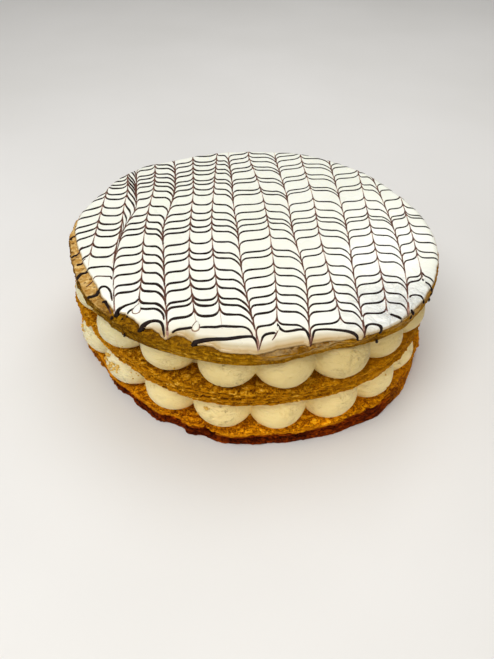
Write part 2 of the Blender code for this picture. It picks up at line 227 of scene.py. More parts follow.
# The tables from here to the free lines give lengths in thousandths of a radius.
# Places along a row, counted in strokes, where its height is known
STATIONS = (0.45, 2.45, 4.45, 6.45, 8.45, 10.45, 12.45)
# Rows of chocolate, from the back, as (first stroke, last stroke, heights at the stations)
ROWS = (
    (-1, 15, (800, 830, 870, 916, 958, 1010, 1050)),
    (-1, 15, (690, 720, 782, 836, 908, 970, 1010)),
    (-1, 15, (630, 670, 730, 784, 844, 915, 950)),
    (-1, 15, (560, 592, 660, 716, 766, 834, 880)),
    (-1, 15, (510, 548, 606, 664, 722, 780, 830)),
    (-1, 15, (462, 500, 534, 580, 612, 684, 735)),
    (-1, 15, (424, 452, 484, 532, 564, 628, 676)),
    (-1, 15, (348, 388, 426, 454, 450, 518, 570)),
    (-1, 15, (290, 306, 354, 392, 410, 482, 504)),
    (-1, 15, (190, 206, 248, 272, 292, 344, 376)),
    (-1, 15, (106, 114, 146, 180, 208, 246, 276)),
    (-1, 15, (16, 36, 70, 104, 128, 164, 194)),
    (-1, 15, (-46, -28, -6, 38, 84, 118, 156)),
    (-1, 15, (-110, -84, -54, -20, 16, 30, 66)),
    (-1, 15, (-216, -206, -172, -124, -70, -34, -6)),
    (-1, 15, (-306, -280, -258, -230, -186, -150, -106)),
    (2, 15, (-392, -364, -320, -278, -246, -208, -182)),
    (2, 15, (-478, -446, -408, -382, -348, -314, -262)),
    (2, 14, (-560, -532, -500, -462, -412, -394, -390)),
    (2, 14, (-620, -592, -562, -532, -502, -474, -442)),
    (3, 13, (-720, -688, -652, -614, -572, -544, -532)),
    (4, 13, (-760, -724, -688, -662, -638, -618, -608)),
    (4, 12, (-860, -818, -768, -732, -698, -678, -700)),
    (7, 11, (-900, -875, -844, -816, -792, -766, -766)),
)
AWAY = 1
TOWARDS = -1
# Each stroke: direction, end, and its sideways places, evenly spaced from y = 800 to -800
STROKES = (
    (AWAY, -420, (-900, -890, -868, -835, -770)),
    (AWAY, -360, (-822, -800, -768, -756, -736, -727, -716, -700, -680)),
    (TOWARDS, -800, (-765, -744, -714, -687, -714, -716, -705, -668, -624)),
    (AWAY, -700, (-655, -630, -614, -612, -603, -586, -560, -543, -527)),
    (TOWARDS, -915, (-530, -502, -486, -492, -503, -478, -450, -420, -388)),
    (AWAY, -800, (-409, -390, -372, -365, -355, -341, -322, -290, -255)),
    (AWAY, -836, (-258, -255, -250, -246, -234, -216, -192, -165, -138)),
    (TOWARDS, -975, (-173, -149, -135, -117, -92, -75, -55, -26, 10)),
    (AWAY, -785, (-28, 12, 45, 66, 85, 98, 110, 115, 116)),
    (TOWARDS, -945, (140, 190, 215, 262, 262)),
    (AWAY, -755, (310, 348, 360, 388, 417)),
    (TOWARDS, -885, (488, 508, 518, 510, 514)),
    (AWAY, -680, (660, 660, 654, 650, 630)),
    (TOWARDS, -700, (730, 765, 785, 772, 720)),
    (AWAY, -425, (890, 883, 878, 857, 830)),
)
STROKE_FIRST_Y = 0.8  # radii
STROKE_SPAN_Y = 1.6
OUTER_SPACE = 0.12  # radii from an outermost stroke to the end of a row
# Shape of a row between two strokes, as (thousandths of the way, height above the row)
AWAY_TO_TOWARDS = (
    (0, 59), (30, 34), (90, 16), (180, 5), (300, 3), (450, 0), (600, -1), (690, -7), (800, -22),
    (890, -42), (955, -65), (990, -88), (1000, -105),
)
TOWARDS_TO_AWAY = (
    (0, -85), (20, -50), (50, -30), (90, -20), (150, -9), (250, -3), (450, 0), (650, 3), (780, 9),
    (880, 20), (950, 35), (1000, 58),
)
AWAY_TO_AWAY = (
    (0, 59), (60, 30), (150, 12), (300, 2), (500, 0), (700, 2), (850, 14), (940, 32), (1000, 58),
)
FIRST_TO_SECOND = (
    (0, 45), (60, 22), (150, 8), (300, 0), (500, 0), (700, 2), (850, 14), (940, 32), (1000, 58),
)
SECOND_TO_THIRD = (
    (0, 60), (120, 35), (300, 4), (500, -22), (700, -55), (850, -90), (950, -125), (1000, -155),
)
LEFT_END = ((0, -49), (160, -35), (520, -15), (840, 10), (930, 22), (1000, 45))
RIGHT_END = ((0, 58), (80, 25), (200, 6), (350, 0), (700, -6), (1000, -30))
SHAPES = {
    (AWAY, TOWARDS): AWAY_TO_TOWARDS, (TOWARDS, AWAY): TOWARDS_TO_AWAY,
    (AWAY, AWAY): AWAY_TO_AWAY,
}
OUTER_SHAPES = {-1: LEFT_END, 0: FIRST_TO_SECOND, 1: SECOND_TO_THIRD, 14: RIGHT_END}
ROW_PLACES = (
    0, 8, 20, 35, 50, 70, 100, 140, 200, 280, 370, 460, 550, 630, 700, 760, 820, 870, 910, 940, 965,
    985, 1000,
)
AWAY_TIP = 0.059  # radii from a row to the tips of its cusps
TOWARDS_TIP = -0.09
# Lines whose ends were piped freely, as (widths in mm, evenly spaced along the line; points)
FREE_LINES = (
    ((1.2, 1.5, 2.0), (
        (-897, -218), (-911, -230), (-917, -256), (-926, -272), (-935, -279), (-944, -298),
    )),
    ((1.0, 1.5, 2.0), ((-862, -322), (-876, -336), (-883, -349), (-892, -353), (-903, -361))),
    ((1.2, 1.5, 1.9), ((-962, -88), (-973, -94), (-984, -103), (-992, -125))),
    ((2.4, 2.2, 1.4), (
        (-871, -480), (-872, -452), (-863, -433), (-844, -424), (-830, -405), (-795, -395),
        (-757, -386), (-732, -386), (-714, -398), (-703, -425),
    )),
    ((0.6, 1.4, 1.6), (
        (-815, -536), (-802, -513), (-790, -487), (-780, -473), (-763, -469), (-727, -469),
        (-706, -470), (-697, -492),
    )),
    ((2.8, 2.4, 1.3), (
        (-790, -625), (-782, -617), (-766, -611), (-753, -602), (-750, -582), (-744, -564),
        (-729, -553), (-711, -555), (-695, -572), (-681, -600), (-671, -634), (-663, -661),
    )),
    ((2.4, 2.0, 1.1), ((-714, -650), (-701, -653), (-689, -669), (-672, -702), (-655, -740))),
    ((3.0, 2.4, 1.6), (
        (-629, -758), (-628, -744), (-620, -723), (-606, -706), (-592, -692), (-569, -678),
        (-551, -662), (-541, -636),
    )),
    ((1.6, 1.8, 1.7), ((-578, -760), (-575, -741), (-562, -724), (-549, -712))),
    ((2.2, 2.4, 1.4), (
        (-524, -711), (-496, -714), (-456, -710), (-430, -724), (-411, -752), (-402, -790),
    )),
    ((3.6, 3.0, 1.4), (
        (-508, -858), (-500, -840), (-489, -825), (-474, -811), (-458, -801), (-436, -797),
        (-416, -805), (-404, -827), (-395, -864), (-388, -897),
    )),
    ((1.4, 2.4, 2.5), ((-356, -873), (-343, -858), (-324, -848), (-293, -840), (-268, -832))),
    ((2.4, 2.5, 1.2), (
        (-240, -831), (-195, -826), (-163, -825), (-136, -817), (-108, -817), (-75, -817),
        (-40, -817), (-18, -828), (-2, -852), (8, -885),
    )),
    ((3.6, 3.5, 3.2, 1.9, 0.8), (
        (-262, -941), (-250, -928), (-228, -920), (-195, -912), (-150, -906), (-113, -903),
        (-81, -896), (-46, -887), (-12, -882), (6, -885), (18, -904), (23, -924), (27, -947),
        (30, -968),
    )),
    ((0.8, 1.0, 1.7, 2.4, 2.6), (
        (34, -966), (38, -946), (42, -923), (46, -903), (52, -880), (65, -864), (88, -855),
        (108, -852),
    )),
    ((1.4, 2.3, 2.4, 1.9, 0.9), (
        (117, -784), (122, -802), (131, -822), (151, -840), (184, -834), (212, -825), (240, -826),
        (252, -846), (257, -873), (260, -899), (261, -918),
    )),
    ((0.8, 1.6, 2.0, 2.4, 3.0, 1.5), (
        (265, -917), (269, -895), (275, -868), (280, -843), (291, -825), (333, -816), (369, -816),
        (405, -819), (436, -824), (458, -833), (473, -848), (481, -867),
    )),
    ((1.2, 1.8, 2.2, 2.6, 2.0), (
        (510, -845), (516, -818), (525, -786), (538, -772), (557, -768), (579, -773), (592, -783),
        (594, -797), (589, -808),
    )),
    ((2.2, 2.5, 2.4), ((648, -691), (672, -706), (702, -719))),
    ((1.4, 1.8, 2.2), ((763, -560), (773, -544), (800, -538), (824, -549), (838, -576))),
    ((1.5, 2.0, 2.6), ((854, -402), (862, -426), (874, -438), (889, -456), (896, -472))),
    ((1.4, 1.6, 1.8), ((864, -345), (872, -374), (892, -392), (912, -416))),
    ((0.7, 1.3, 0.7), ((119, -838), (112, -855), (103, -880), (92, -903))),
)
# Drops of chocolate on the edge and the side, as (degrees, radii, width in mm, length in mm)
DROPS = (
    (319.2, 1.008, 2.8, 3.6), (318.0, 1.020, 2.0, 2.6), (332.2, 1.026, 2.2, 3.6),
    (331.5, 1.060, 1.6, 2.6), (306.0, 1.047, 2.2, 3.0), (229.7, 1.002, 2.0, 2.6),
    (232.1, 0.977, 1.0, 2.2), (234.6, 1.060, 1.5, 3.2),
)
# Small blisters where a stroke ended, as (x and y in radii, length in mm, degrees)
BLISTERS = (
    (-0.536, -0.712, 10.0, 80), (-0.252, -0.822, 9.6, 84), (0.118, -0.822, 5.0, 78),
    (0.409, -0.768, 4.6, 60), (0.634, -0.694, 4.6, 40), (0.757, -0.578, 5.0, 75),
    (0.860, -0.425, 4.0, 70), (0.512, -0.728, 3.4, 85),
)
BLISTER_RIM = 0.0007  # width of the brown line on the edge of a long blister
LONG_BLISTER = 6.0  # mm
BLISTER_SIDES = 14
BLISTER_ROOT = 0.0002
BLISTER_HEIGHT = 0.00095
BLISTER_INSETS = (0.7, 1.2, 12.0, 12.0, 12.0)  # as on the icing, from a blister's foot up
LINE_WIDTH = 0.0020
LINE_UNEVEN = 0.24  # how much a row's width varies
LEFT_WIDENING = 0.42  # how much wider the rows are piped on the left
LEFT_FROM, LEFT_TO = 0.35, -0.5  # the stretch over which they widen, in radii
FRONT_WIDENING = 0.15  # and how much wider nearest the front
FRONT_FROM, FRONT_TO = 15, 23  # numbers of the rows that do
FADE_FROM, FADE_TO = 0.004, 0.022  # radii from a stroke between which a row is dragged thin
LEAST_LINE = 0.00056  # half width where a row runs along a stroke
LINE_END_ROOM = 0.0002  # from the end of a row to the icing's edge
LINE_LIFT = 0.00030
LINE_ROOT = 0.00025
FREE_LINE_LIFT = 0.00075
DROP_LIFT = 0.0008
STREAK_WIDTH = 0.0011
STREAK_LIFT = 0.00010
STREAK_START, STREAK_STEP = 1.02, 0.006  # radii
STREAK_SWAY = 0.00012
STREAK_LEAST = 0.28  # how dark a streak is between cusps
STREAK_GAIN = 0.75  # and how much darker just beyond one
CUSP = 0.03  # radii before a cusp's tip where its streak starts
SMEAR = 0.05  # radii that chocolate is dragged beyond it
TAIL = 0.13  # radii of thick brown tail at the front end of a stroke
TAIL_WIDTH = 0.0023
TAIL_DARKNESS = 0.55
FAINT_STROKES = {2: 0.5}  # strokes with thinner streaks, and their share
# A line's section, as (share of the half width, share of the lift)
SECTION = ((-1.0, 0.0), (-0.62, 0.72), (0.0, 1.0), (0.62, 0.72), (1.0, 0.0))
# Where a line runs over the rim: how far inside it starts to turn, the length of the turn, and
# how far out it then lies
RIM_START = 0.0004
RIM_TURN = 0.0012
RIM_STAND = 0.0003

# Least and greatest radius of the crumbs that lie alone and of those in clumps
SMALL_CRUMBS = (0.0003, 0.0009)
CLUMP_CRUMBS = (0.0005, 0.0012)
CRUMB_STAND = 0.3  # radii that a crumb's middle lies outside the cream

# Colours of the crusts from their splits up, as (place, red, green, blue as seen); the dark end is
# partly painted shade in splits and hollows, the light end partly painted highlight on proud leaves
EMBER = (
    (0.10, 84, 32, 0), (0.28, 152, 82, 0), (0.48, 214, 132, 2), (0.68, 236, 160, 20),
    (0.90, 250, 204, 84),
)
GOLDEN = (
    (0.10, 72, 32, 0), (0.28, 140, 82, 0), (0.48, 190, 122, 0), (0.68, 218, 154, 22),
    (0.90, 246, 200, 90),
)
OLIVE = (
    (0.10, 77, 44, 0), (0.28, 132, 86, 0), (0.48, 169, 116, 2), (0.68, 196, 144, 25),
    (0.90, 230, 190, 95),
)

# Studio
FLOOR_SIZE = 12.0
FLOOR_DROP = 0.0001
LAMP_AIM = (0, 0, 0.04)
WHITE = (1, 1, 1)
# Lamps, as (name, place, size, power, colour)
LAMPS = (
    ("key", (-0.35, -0.45, 1.00), 0.6, 5.4, WHITE),
    ("top", (0.10, 0.40, 1.1), 0.9, 4.7, WHITE),
    ("fill", (0.7, -0.6, 0.5), 0.8, 0.7, WHITE),
    ("bounce", (0.05, -0.8, 0.10), 0.7, 1.8, (1.0, 0.90, 0.72)),
    ("left", (-0.9, -0.2, 0.35), 0.5, 1.2, (0.94, 0.97, 1.0)),
    ("sheen", (0.35, 1.0, 0.85), 0.25, 0.8, WHITE),
)
CAMERA_DOWN = math.radians(41.1)
CAMERA_ROLL = math.radians(1.9)
CAMERA_AIM = (-0.021, 0, -0.084)  # radii
CAMERA_DISTANCE = 3.91  # radii
SENSOR_WIDTH = 36
FOCAL_SHARE = 620 / 659  # focal length as a share of the picture's height


def srgb(red, green, blue):
    """Scene-linear colour of a colour as seen, 0 to 255."""
    linear = []
    for channel in (red, green, blue):
        share = channel / 255
        linear.append(share / 12.92 if share <= 0.04045 else ((share + 0.055) / 1.055) ** 2.4)
    return (*linear, 1.0)


def around(stations, degrees):
    """Values at angles, eased between (degrees, value) stations round the cake."""
    places, values = np.array((*stations, (stations[0][0] + 360, stations[0][1]))).T
    degrees = np.mod(degrees, 360)
    index = np.clip(np.searchsorted(places, degrees, side="right") - 1, 0, len(places) - 2)
    share = (degrees - places[index]) / (places[index + 1] - places[index])
    return values[index] + (values[index + 1] - values[index]) * (1 - np.cos(np.pi * share)) / 2


def fractal(points, size, octaves, seed):
    """Fractal noise with bumps of the given size at each of the points, about -1 to 1."""
    shifted = np.asarray(points, float) / size + (17.3 * seed, -9.1 * seed, 5.7 * seed)
    flat = shifted.reshape(-1, 3).tolist()
    values = np.array([noise.fractal(point, 1.0, 2.0, octaves) for point in flat])
    return values.reshape(shifted.shape[:-1])


def smooth_step(low, high, value):
    share = np.clip((value - low) / (high - low), 0, 1)
    return share * share * (3 - 2 * share)


def stack(x, y, z=0.0):
    return np.stack(np.broadcast_arrays(x, y, z), axis=-1)


def polar(radius, angles, z=0.0):
    """Points at distances and angles from the cake's axis."""
    return stack(radius * np.cos(angles), radius * np.sin(angles), z)


def turn_in(columns):
    """Evenly spaced angles all the way round."""
    return np.linspace(-np.pi, np.pi, columns, endpoint=False)


def pastry_radius(degrees, change=EVEN):
    return CAKE_RADIUS * around(PASTRY_OUTLINE, degrees) + CAKE_RADIUS * around(change, degrees)


def icing_radius(degrees):
    return pastry_radius(degrees) - CAKE_RADIUS * around(ICING_LEDGE, degrees)


def in_box(points):
    """The points, held inside the box of the solids that they replace."""
    low = np.array(CAD_LOW) + BOX_MARGIN
    high = np.array(CAD_HIGH) - BOX_MARGIN
    low[2] = CAD_LOW[2]
    return np.clip(points, low, high)


def link(name, data):
    """New object in the scene."""
    obj = bpy.data.objects.new(name, data)
    bpy.context.scene.collection.objects.link(obj)
    return obj


def make_object(name, points, faces, material, marks):
    """Object from points and faces; marks are (name, value at each point) for its material."""
    mesh = bpy.data.meshes.new(name)
    mesh.from_pydata(in_box(points).tolist(), [], faces)
    mesh.materials.append(material)
    for key, values in marks:
        attribute = mesh.attributes.new(key, "FLOAT", "POINT")
        attribute.data.foreach_set("value", np.asarray(values, np.float32))
    mesh.validate()
    mesh.shade_smooth()
    return link(name, mesh)


def quads_between(rings, sides, clockwise=False):
    """Faces between rings of points, each with the given number of sides."""
    quads = []
    for base in range(0, (rings - 1) * sides, sides):
        for side in range(sides):
            after = (side + 1) % sides
            quads.append((base + side, base + after, base + sides + after, base + sides + side))
    return [(a, d, c, b) for a, b, c, d in quads] if clockwise else quads


def tube_faces(rings, sides, clockwise=False):
    """Faces of a tube of rings, closed at both ends."""
    first, last = range(sides), range((rings - 1) * sides, rings * sides)
    caps = [tuple(first), tuple(last)[::-1]] if clockwise else [tuple(first)[::-1], tuple(last)]
    return quads_between(rings, sides, clockwise) + caps


def shell_faces(rings, sides):
    """Faces of a shell of rings, closed by a first and a last point at the poles."""
    faces = []
    last = rings * sides + 1
    for side in range(sides):
        after = (side + 1) % sides
        faces.append((0, 1 + side, 1 + after))
        faces.append((last, last - sides + after, last - sides + side))
    quads = quads_between(rings, sides, clockwise=True)
    return faces + [tuple(1 + index for index in quad) for quad in quads]


def make_shell(name, grid, material, marks):
    """Closed shell from rings of points, listed from the top's middle to the underside's."""
    rows, columns = grid.shape[:2]
    top = (0.0, 0.0, grid[0, :, 2].mean())
    bottom = (0.0, 0.0, grid[-1, :, 2].mean())
    points = np.concatenate([[top], grid.reshape(-1, 3), [bottom]])
    padded = []
    for key, values in marks:
        values = np.broadcast_to(values, (rows, columns)).ravel()
        padded.append((key, np.concatenate([[0.5], values, [0.5]])))
    return make_object(name, points, shell_faces(rows, columns), material, padded)


class Heap:
    """Collects small closed parts as one mesh, with one value at each point."""

    def __init__(self):
        self.points, self.faces, self.values = [], [], []
        self.count = 0

    def add(self, points, faces, values):
        """Adds a part; its faces number its own points, and the values fit their shape."""
        self.faces += [tuple(self.count + index for index in face) for face in faces]
        self.points.append(points.reshape(-1, 3))
        self.values.append(np.broadcast_to(values, points.shape[:-1]).ravel())
        self.count += len(self.points[-1])

    def finish(self, name, key, material):
        points, values = np.concatenate(self.points), np.concatenate(self.values)
        return make_object(name, points, self.faces, material, [(key, values)])


def dress(obj, slot, *nodes):
    """Sets the piece on the cake's body, in place of the solids it stands for."""
    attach(obj, "root")
    if nodes:
        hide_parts(*nodes)


# ---------------------------------------------------------------- pastry


def flake(angles, sheet, seed):
    """How far a sheet's edge stands out at each angle: broad waves and crags."""
    layer = seed + LAYER_SPACING * sheet
    values = []
    for x, y in zip(np.cos(angles).tolist(), np.sin(angles).tolist()):
        broad = noise.noise(Vector((BROAD_WAVES * x, BROAD_WAVES * y, layer)))
        crag = noise.noise(Vector((CRAG_WAVES * x, CRAG_WAVES * y, -layer)))
        values.append(BROAD_SHARE * broad + CRAG_SHARE * crag)
    return np.array(values)


def sheet_edges(angles, disc):
    """Rim radius at the lower and upper edge of each sheet, bottom first."""
    degrees = np.degrees(angles)
    outline = pastry_radius(degrees, disc.change)
    drawn_in = CAKE_RADIUS * around(disc.tuck, degrees)
    edges = []
    for sheet in range(SHEETS):
        level = flake(angles, sheet, disc.seed)
        for upper in (0, 1):
            lean = flake(angles, sheet + upper / 2, 2 * disc.seed)
            wander = level + LEAN_SHARE * lean - FLAKE_BACK
            low = 1 - (sheet + upper) / SHEETS
            edges.append(outline - low * drawn_in + disc.reach * wander)
    return edges


def rim_at(share, edges):
    """Rim radius at a share of the disc's height."""
    place = min(max(share, 0), 0.9999) * SHEETS
    sheet = int(place)
    inner = place - sheet
    return edges[2 * sheet] * (1 - inner) + edges[2 * sheet + 1] * inner


def pastry_profile(disc):
    """(inset, height, tilt) of each ring; tilt is 0 where it faces sideways and 90 on top."""
    corner = disc.corner
    rings = [(inset, disc.top, 90.0) for inset in TOP_INSETS if inset > corner]
    for step in range(CORNER_STEPS):
        tilt = 90 - 90 * step / CORNER_STEPS
        lean = math.radians(tilt)
        rings.append((corner * (1 - math.cos(lean)), disc.top - corner * (1 - math.sin(lean)), tilt))
    side_top, side_bottom = disc.top - corner, disc.bottom + UNDER_EDGE
    count = max(4, round((side_top - side_bottom) / SIDE_ROW))
    for step in range(1, count + 1):
        rings.append((0.0, side_top + (side_bottom - side_top) * step / count, 0.0))
    rings.append((UNDER_EDGE, disc.bottom, -60.0))
    rings += [(inset, disc.bottom, -90.0) for inset in UNDER_INSETS]
    return rings


def leaf_relief(spots, crags, seed):
    """How far each leaf at a rim stands out, and how deep the groove between two leaves is."""
    x, y, z = np.moveaxis(spots, -1, 0)
    sway = LEAF_SWAY * fractal(stack(x, y), 0.021, 2, seed + 6) + LEAF_SHRED * crags
    count = (z + sway) / LEAF_PITCH
    leaf = np.floor(count)
    share = count - leaf

    def leaf_noise(size, octaves, number, spacing=LAYER_SPACING):
        return fractal(stack(x / size, y / size, leaf * spacing), 1, octaves, number)

    reach = leaf_noise(0.011, 3, seed)
    torn = leaf_noise(0.0035, 2, seed + 8)
    opening = smooth_step(-0.25, 0.25, leaf_noise(0.009, 2, seed + 9, 3.1))
    grooves = np.maximum(1 - 5 * np.minimum(share, 1 - share), 0)
    return LEAF_REACH * (0.7 * reach + 0.4 * torn), grooves * (0.25 + 0.75 * opening)


def pastry_relief(spots, side, insets, seed):
    """How far the crust stands out: torn leaves where it faces sideways, crags on top."""
    crags = fractal(spots * (1, 1, 1.5), CRAG_SIZE, 4, seed + 1)
    pores = fractal(spots, PORE_SIZE, 2, seed + 4)
    broad = fractal(spots, WAVE_SIZE, 2, seed + 2)
    hollows = smooth_step(0.12, 0.5, crags)
    leaves, grooves = leaf_relief(spots, crags, seed)
    crag, hollow, wave, pore = SIDE_DEPTHS
    outward = leaves - GROOVE_DEPTH * grooves + crag * crags + wave * broad + pore * pores
    outward -= hollow * hollows + SIDE_SET_BACK
    crag, hollow, wave, pore = TOP_DEPTHS
    upward = crag * crags - hollow * hollows + pore * pores
    upward = upward * (CALM_TOP + np.exp(-insets / RIM_ZONE)) + wave * broad
    return side * outward + (1 - side) * upward


def make_pastry(name, disc, material):
    """Disc of puff pastry, and the edges of its sheets."""
    bottom, top = disc.bottom, disc.top
    angles = turn_in(PASTRY_COLUMNS)
    degrees = np.degrees(angles)
    rough = around(disc.rugged, degrees)
    edges = sheet_edges(angles, disc)
    insets, levels, tilts = (np.array(column)[:, None] for column in zip(*pastry_profile(disc)))
    shares = (levels - bottom) / (top - bottom)
    radius = np.array([rim_at(share, edges) for share in shares[:, 0]]) - insets
    lean = np.radians(tilts)
    side = np.cos(lean) ** 2
    spots = polar(radius, angles, levels)
    relief = disc.strength * rough * pastry_relief(spots, side, insets, disc.seed)
    drop = np.clip((top - levels) / (top - bottom), 0, 1)
    relief -= disc.undercut * side * np.sin(np.pi * drop) ** 2
    z = levels + relief * np.sin(lean)
    z[tilts[:, 0] < -45] = bottom
    grid = polar(radius + relief * np.cos(lean), angles, np.clip(z, bottom, top))
    high = smooth_step(bottom + 0.25 * (top - bottom), top - 0.3 * (top - bottom), levels)
    deep = SIDE_DEPTHS[0] * disc.strength * np.maximum(rough, 0.3)
    # painted light: the first mark is paler where the relief stands out and darker where it sinks
    # in, and the crust's colour follows it
    marks = [
        ("relief_light_and_tone", 0.5 + 0.5 * np.tanh(relief / deep)), ("rugged", rough), ("upward", 1 - side),
        ("glaze_and_glints", around(GLAZE_AND_GLINTS, degrees) * high),
    ]
    return make_shell(name, grid, material, marks), edges


def make_leaves(name, disc, edges, places, count, seed, material):
    """Thin torn leaves that stand out from a rim; places are (degrees, shares of its height)."""
    draw = random.Random(seed)
    heap = Heap()
    faces = tube_faces(LOOSE_LEAF_STEPS + 1, len(LOOSE_LEAF_SECTION))
    along = np.arange(LOOSE_LEAF_STEPS + 1)[:, None] / LOOSE_LEAF_STEPS - 0.5
    taper = np.sqrt(np.maximum(1 - (2 * along) ** 2, 0.02))
    inward, lift = np.array(LOOSE_LEAF_SECTION).T
    for _ in range(count):
        degrees, shares = places[draw.randrange(len(places))]
        degrees, share = draw.uniform(*degrees), draw.uniform(*shares)
        length, width, thickness, droop, twist, tone, reach = (
            draw.uniform(*limits) for limits in LOOSE_LEAF
        )
        column = int((degrees + 180) / 360 * PASTRY_COLUMNS) % PASTRY_COLUMNS
        rim = rim_at(share, edges)[column]
        ripple = LOOSE_LEAF_RIPPLE * np.sin(9 * along + 7 * tone)
        radius = rim + reach * taper - inward * width * 1.6 + ripple
        height = disc.bottom + share * (disc.top - disc.bottom)
        height = height + lift * thickness + twist * LOOSE_LEAF_TWIST * along
        height = height - droop * reach * (1 - inward)
        height = np.clip(height, disc.bottom + 0.0002, disc.top - 0.0001)
        angle = math.radians(degrees) + along * length / CAKE_RADIUS
        heap.add(polar(radius, angle, height), faces, tone)
    return heap.finish(name, "relief_light_and_tone", material)


# ---------------------------------------------------------------- cream


def place_mounds(seed, drift, shifts):
    """(angle, ring radius, mound radius) of each mound, as in the solids."""
    draw = random.Random(seed)
    mounds = []
    for index in range(MOUNDS):
        degrees, outwards = shifts.get(index, (0.0, 0.0))
        angle = MOUND_START + index * math.tau / MOUNDS + math.radians(degrees)
        radius = MOUND_RADIUS * (1 + draw.uniform(-MOUND_SIZE_SPREAD, MOUND_SIZE_SPREAD))
        ring = MOUND_RING_RADIUS + drift * max(0, -math.cos(angle)) + outwards
        ring += draw.uniform(-MOUND_PLACE_SPREAD, MOUND_PLACE_SPREAD)
        draw.uniform(0, math.tau)  # the solid mound's turn, which a round one doesn't need
        mounds.append((angle, ring, radius))
    return mounds


def cream_radius(angles, rise, layer):
    """How far out the cream reaches at each angle; rise is -1 at the bottom and 1 at the top."""
    reach = CREAM_MIDDLE_RADIUS - around(layer.hollow, np.degrees(angles)) + 0 * rise
    width = np.sqrt(1 - (rise / MOUND_FULLNESS) ** 2)
    for angle, ring, radius in layer.mounds:
        turn = angles - angle
        aside = ring * np.sin(turn)
        wide = radius * width
        chord = np.sqrt(np.maximum(wide ** 2 - aside ** 2, 0))
        hit = (np.abs(aside) < wide) & (np.cos(turn) > 0)
        reach = np.maximum(reach, np.where(hit, ring * np.cos(turn) + chord, 0))
    return reach


def level_at(rise, layer):
    return (layer.top + layer.bottom) / 2 + rise * (layer.top - layer.bottom) / 2


def make_cream(name, layer, seed, material):
    """Layer of cream as one skin: its mounds at the side, closed above and below."""
    angles = turn_in(CREAM_COLUMNS)
    lean = np.linspace(0, np.pi, CREAM_ROWS)[:, None]
    rise = np.cos(lean) * (1 - 0.12 * np.sin(lean) ** 2)
    radius = cream_radius(angles, rise, layer)
    z = level_at(rise, layer)
    spots = polar(radius, angles, z)
    swell = fractal(spots, SWELL_SIZE, 2, seed)
    ripple = fractal(spots * (1, 1, 2.5), RIPPLE_SIZE, 3, seed + 3)
    dents = smooth_step(0.36, 0.60, fractal(spots, DENT_SIZE, 2, seed + 5))
    radius = radius + SWELL_DEPTH * swell + RIPPLE_DEPTH * ripple - DENT_DEPTH * dents
    inner = np.linspace(0.6, 0.88, 3)[:, None] * CREAM_MIDDLE_RADIUS
    grid = np.concatenate([
        polar(inner, angles, layer.top), polar(radius, angles, z),
        polar(inner[::-1], angles, layer.bottom),
    ])
    return make_shell(name, grid, material, [])


# ---------------------------------------------------------------- icing


def icing_plateau(x, y):
    """Height of the icing away from its edge, with the slow waves of a poured sheet."""
    return ICING_TOP - ICING_WAVE + ICING_WAVE * fractal(stack(x, y), ICING_WAVE_SIZE, 2, 41)


def lip_rise(inset):
    """Share of the icing's thickness at a distance inside its edge."""
    share = np.clip(inset / ICING_LIP, 0, 1)
    return np.sqrt(1 - (1 - share) ** 2) ** 0.9


def make_icing(material):
    angles = turn_in(ICING_COLUMNS)
    edge = icing_radius(np.degrees(angles))
    edge = edge + ICING_EDGE_RIPPLE * fractal(polar(1, angles) * 14, 1, 3, 47)
    bottom = PASTRY_TOP_TOP + ICING_FOOT
    inner = np.linspace(0.02, 0.97, ICING_INNER_RINGS)[:, None] * (edge - ICING_INSETS[0])
    radius = np.concatenate([inner, edge - np.array(ICING_INSETS)[:, None]])
    inset = edge - radius
    height = icing_plateau(radius * np.cos(angles), radius * np.sin(angles)) - bottom
    grid = np.concatenate([
        polar(radius, angles, bottom + height * lip_rise(inset)),
        [polar(edge, angles, bottom), polar(0.9 * edge, angles, bottom)],
    ])
    inset = np.concatenate([inset, np.zeros((2, ICING_COLUMNS))])
    return make_shell("icing_sheet", grid, material, [("inset", 1000 * inset)])


def surface_point(x, y, lift):
    """Points on top of the cake at x and y, raised by lift. Past the rim they run down the side."""
    degrees = np.degrees(np.arctan2(y, x))
    radius = np.hypot(x, y)
    rim = pastry_radius(degrees, TOP_CHANGE) - RIM_START
    rise = lip_rise(icing_radius(degrees) - radius)
    height = PASTRY_TOP_TOP + (icing_plateau(x, y) - PASTRY_TOP_TOP) * rise
    fall = np.maximum(radius - rim, 0)
    past = smooth_step(0, RIM_TURN, fall)
    turned = np.minimum(radius, rim + RIM_STAND) + lift * past
    return stack(x / radius * turned, y / radius * turned, height + lift * (1 - past) - fall)


def cubic(before, start, end, after, share):
    """Place at a share of the way from start to end, on a smooth curve through all four."""
    bend = 2 * before - 5 * start + 4 * end - after + share * (3 * (start - end) + after - before)
    return start + share / 2 * (end - before + share * bend)


def extended(values):
    """The values, carried straight on by one at each end."""
    return np.concatenate([[2 * values[0] - values[1]], values, [2 * values[-1] - values[-2]]])


def curve_through(points, per_step=7):
    """Smooth line through the points."""
    ends = extended(points)
    shares = np.linspace(0, 1, per_step, endpoint=False)[:, None]
    parts = [cubic(*ends[index:index + 4], shares) for index in range(len(points) - 1)]
    return np.concatenate([*parts, points[-1:]])


def stroke_x(stroke, y):
    """Sideways place of a stroke at y. The ones beyond the outermost stand for a row's ends."""
    inner = min(max(stroke, 0), len(STROKES) - 1)
    values = extended(np.array(STROKES[inner][2]) / 1000)
    last = len(values) - 3
    place = np.clip((STROKE_FIRST_Y - y) * last / STROKE_SPAN_Y, -0.6, last + 0.6)
    index = int(np.clip(math.floor(place), 0, last - 1))
    return cubic(*values[index:index + 4], place - index) + OUTER_SPACE * (stroke - inner)


def row_level(heights, place):
    """Height of a row at a place counted in strokes, in radii."""
    index = int(np.clip(np.searchsorted(STATIONS, place) - 1, 0, len(STATIONS) - 2))
    share = (place - STATIONS[index]) / (STATIONS[index + 1] - STATIONS[index])
    low, high = heights[index] / 1000, heights[index + 1] / 1000
    return low + share * (high - low)


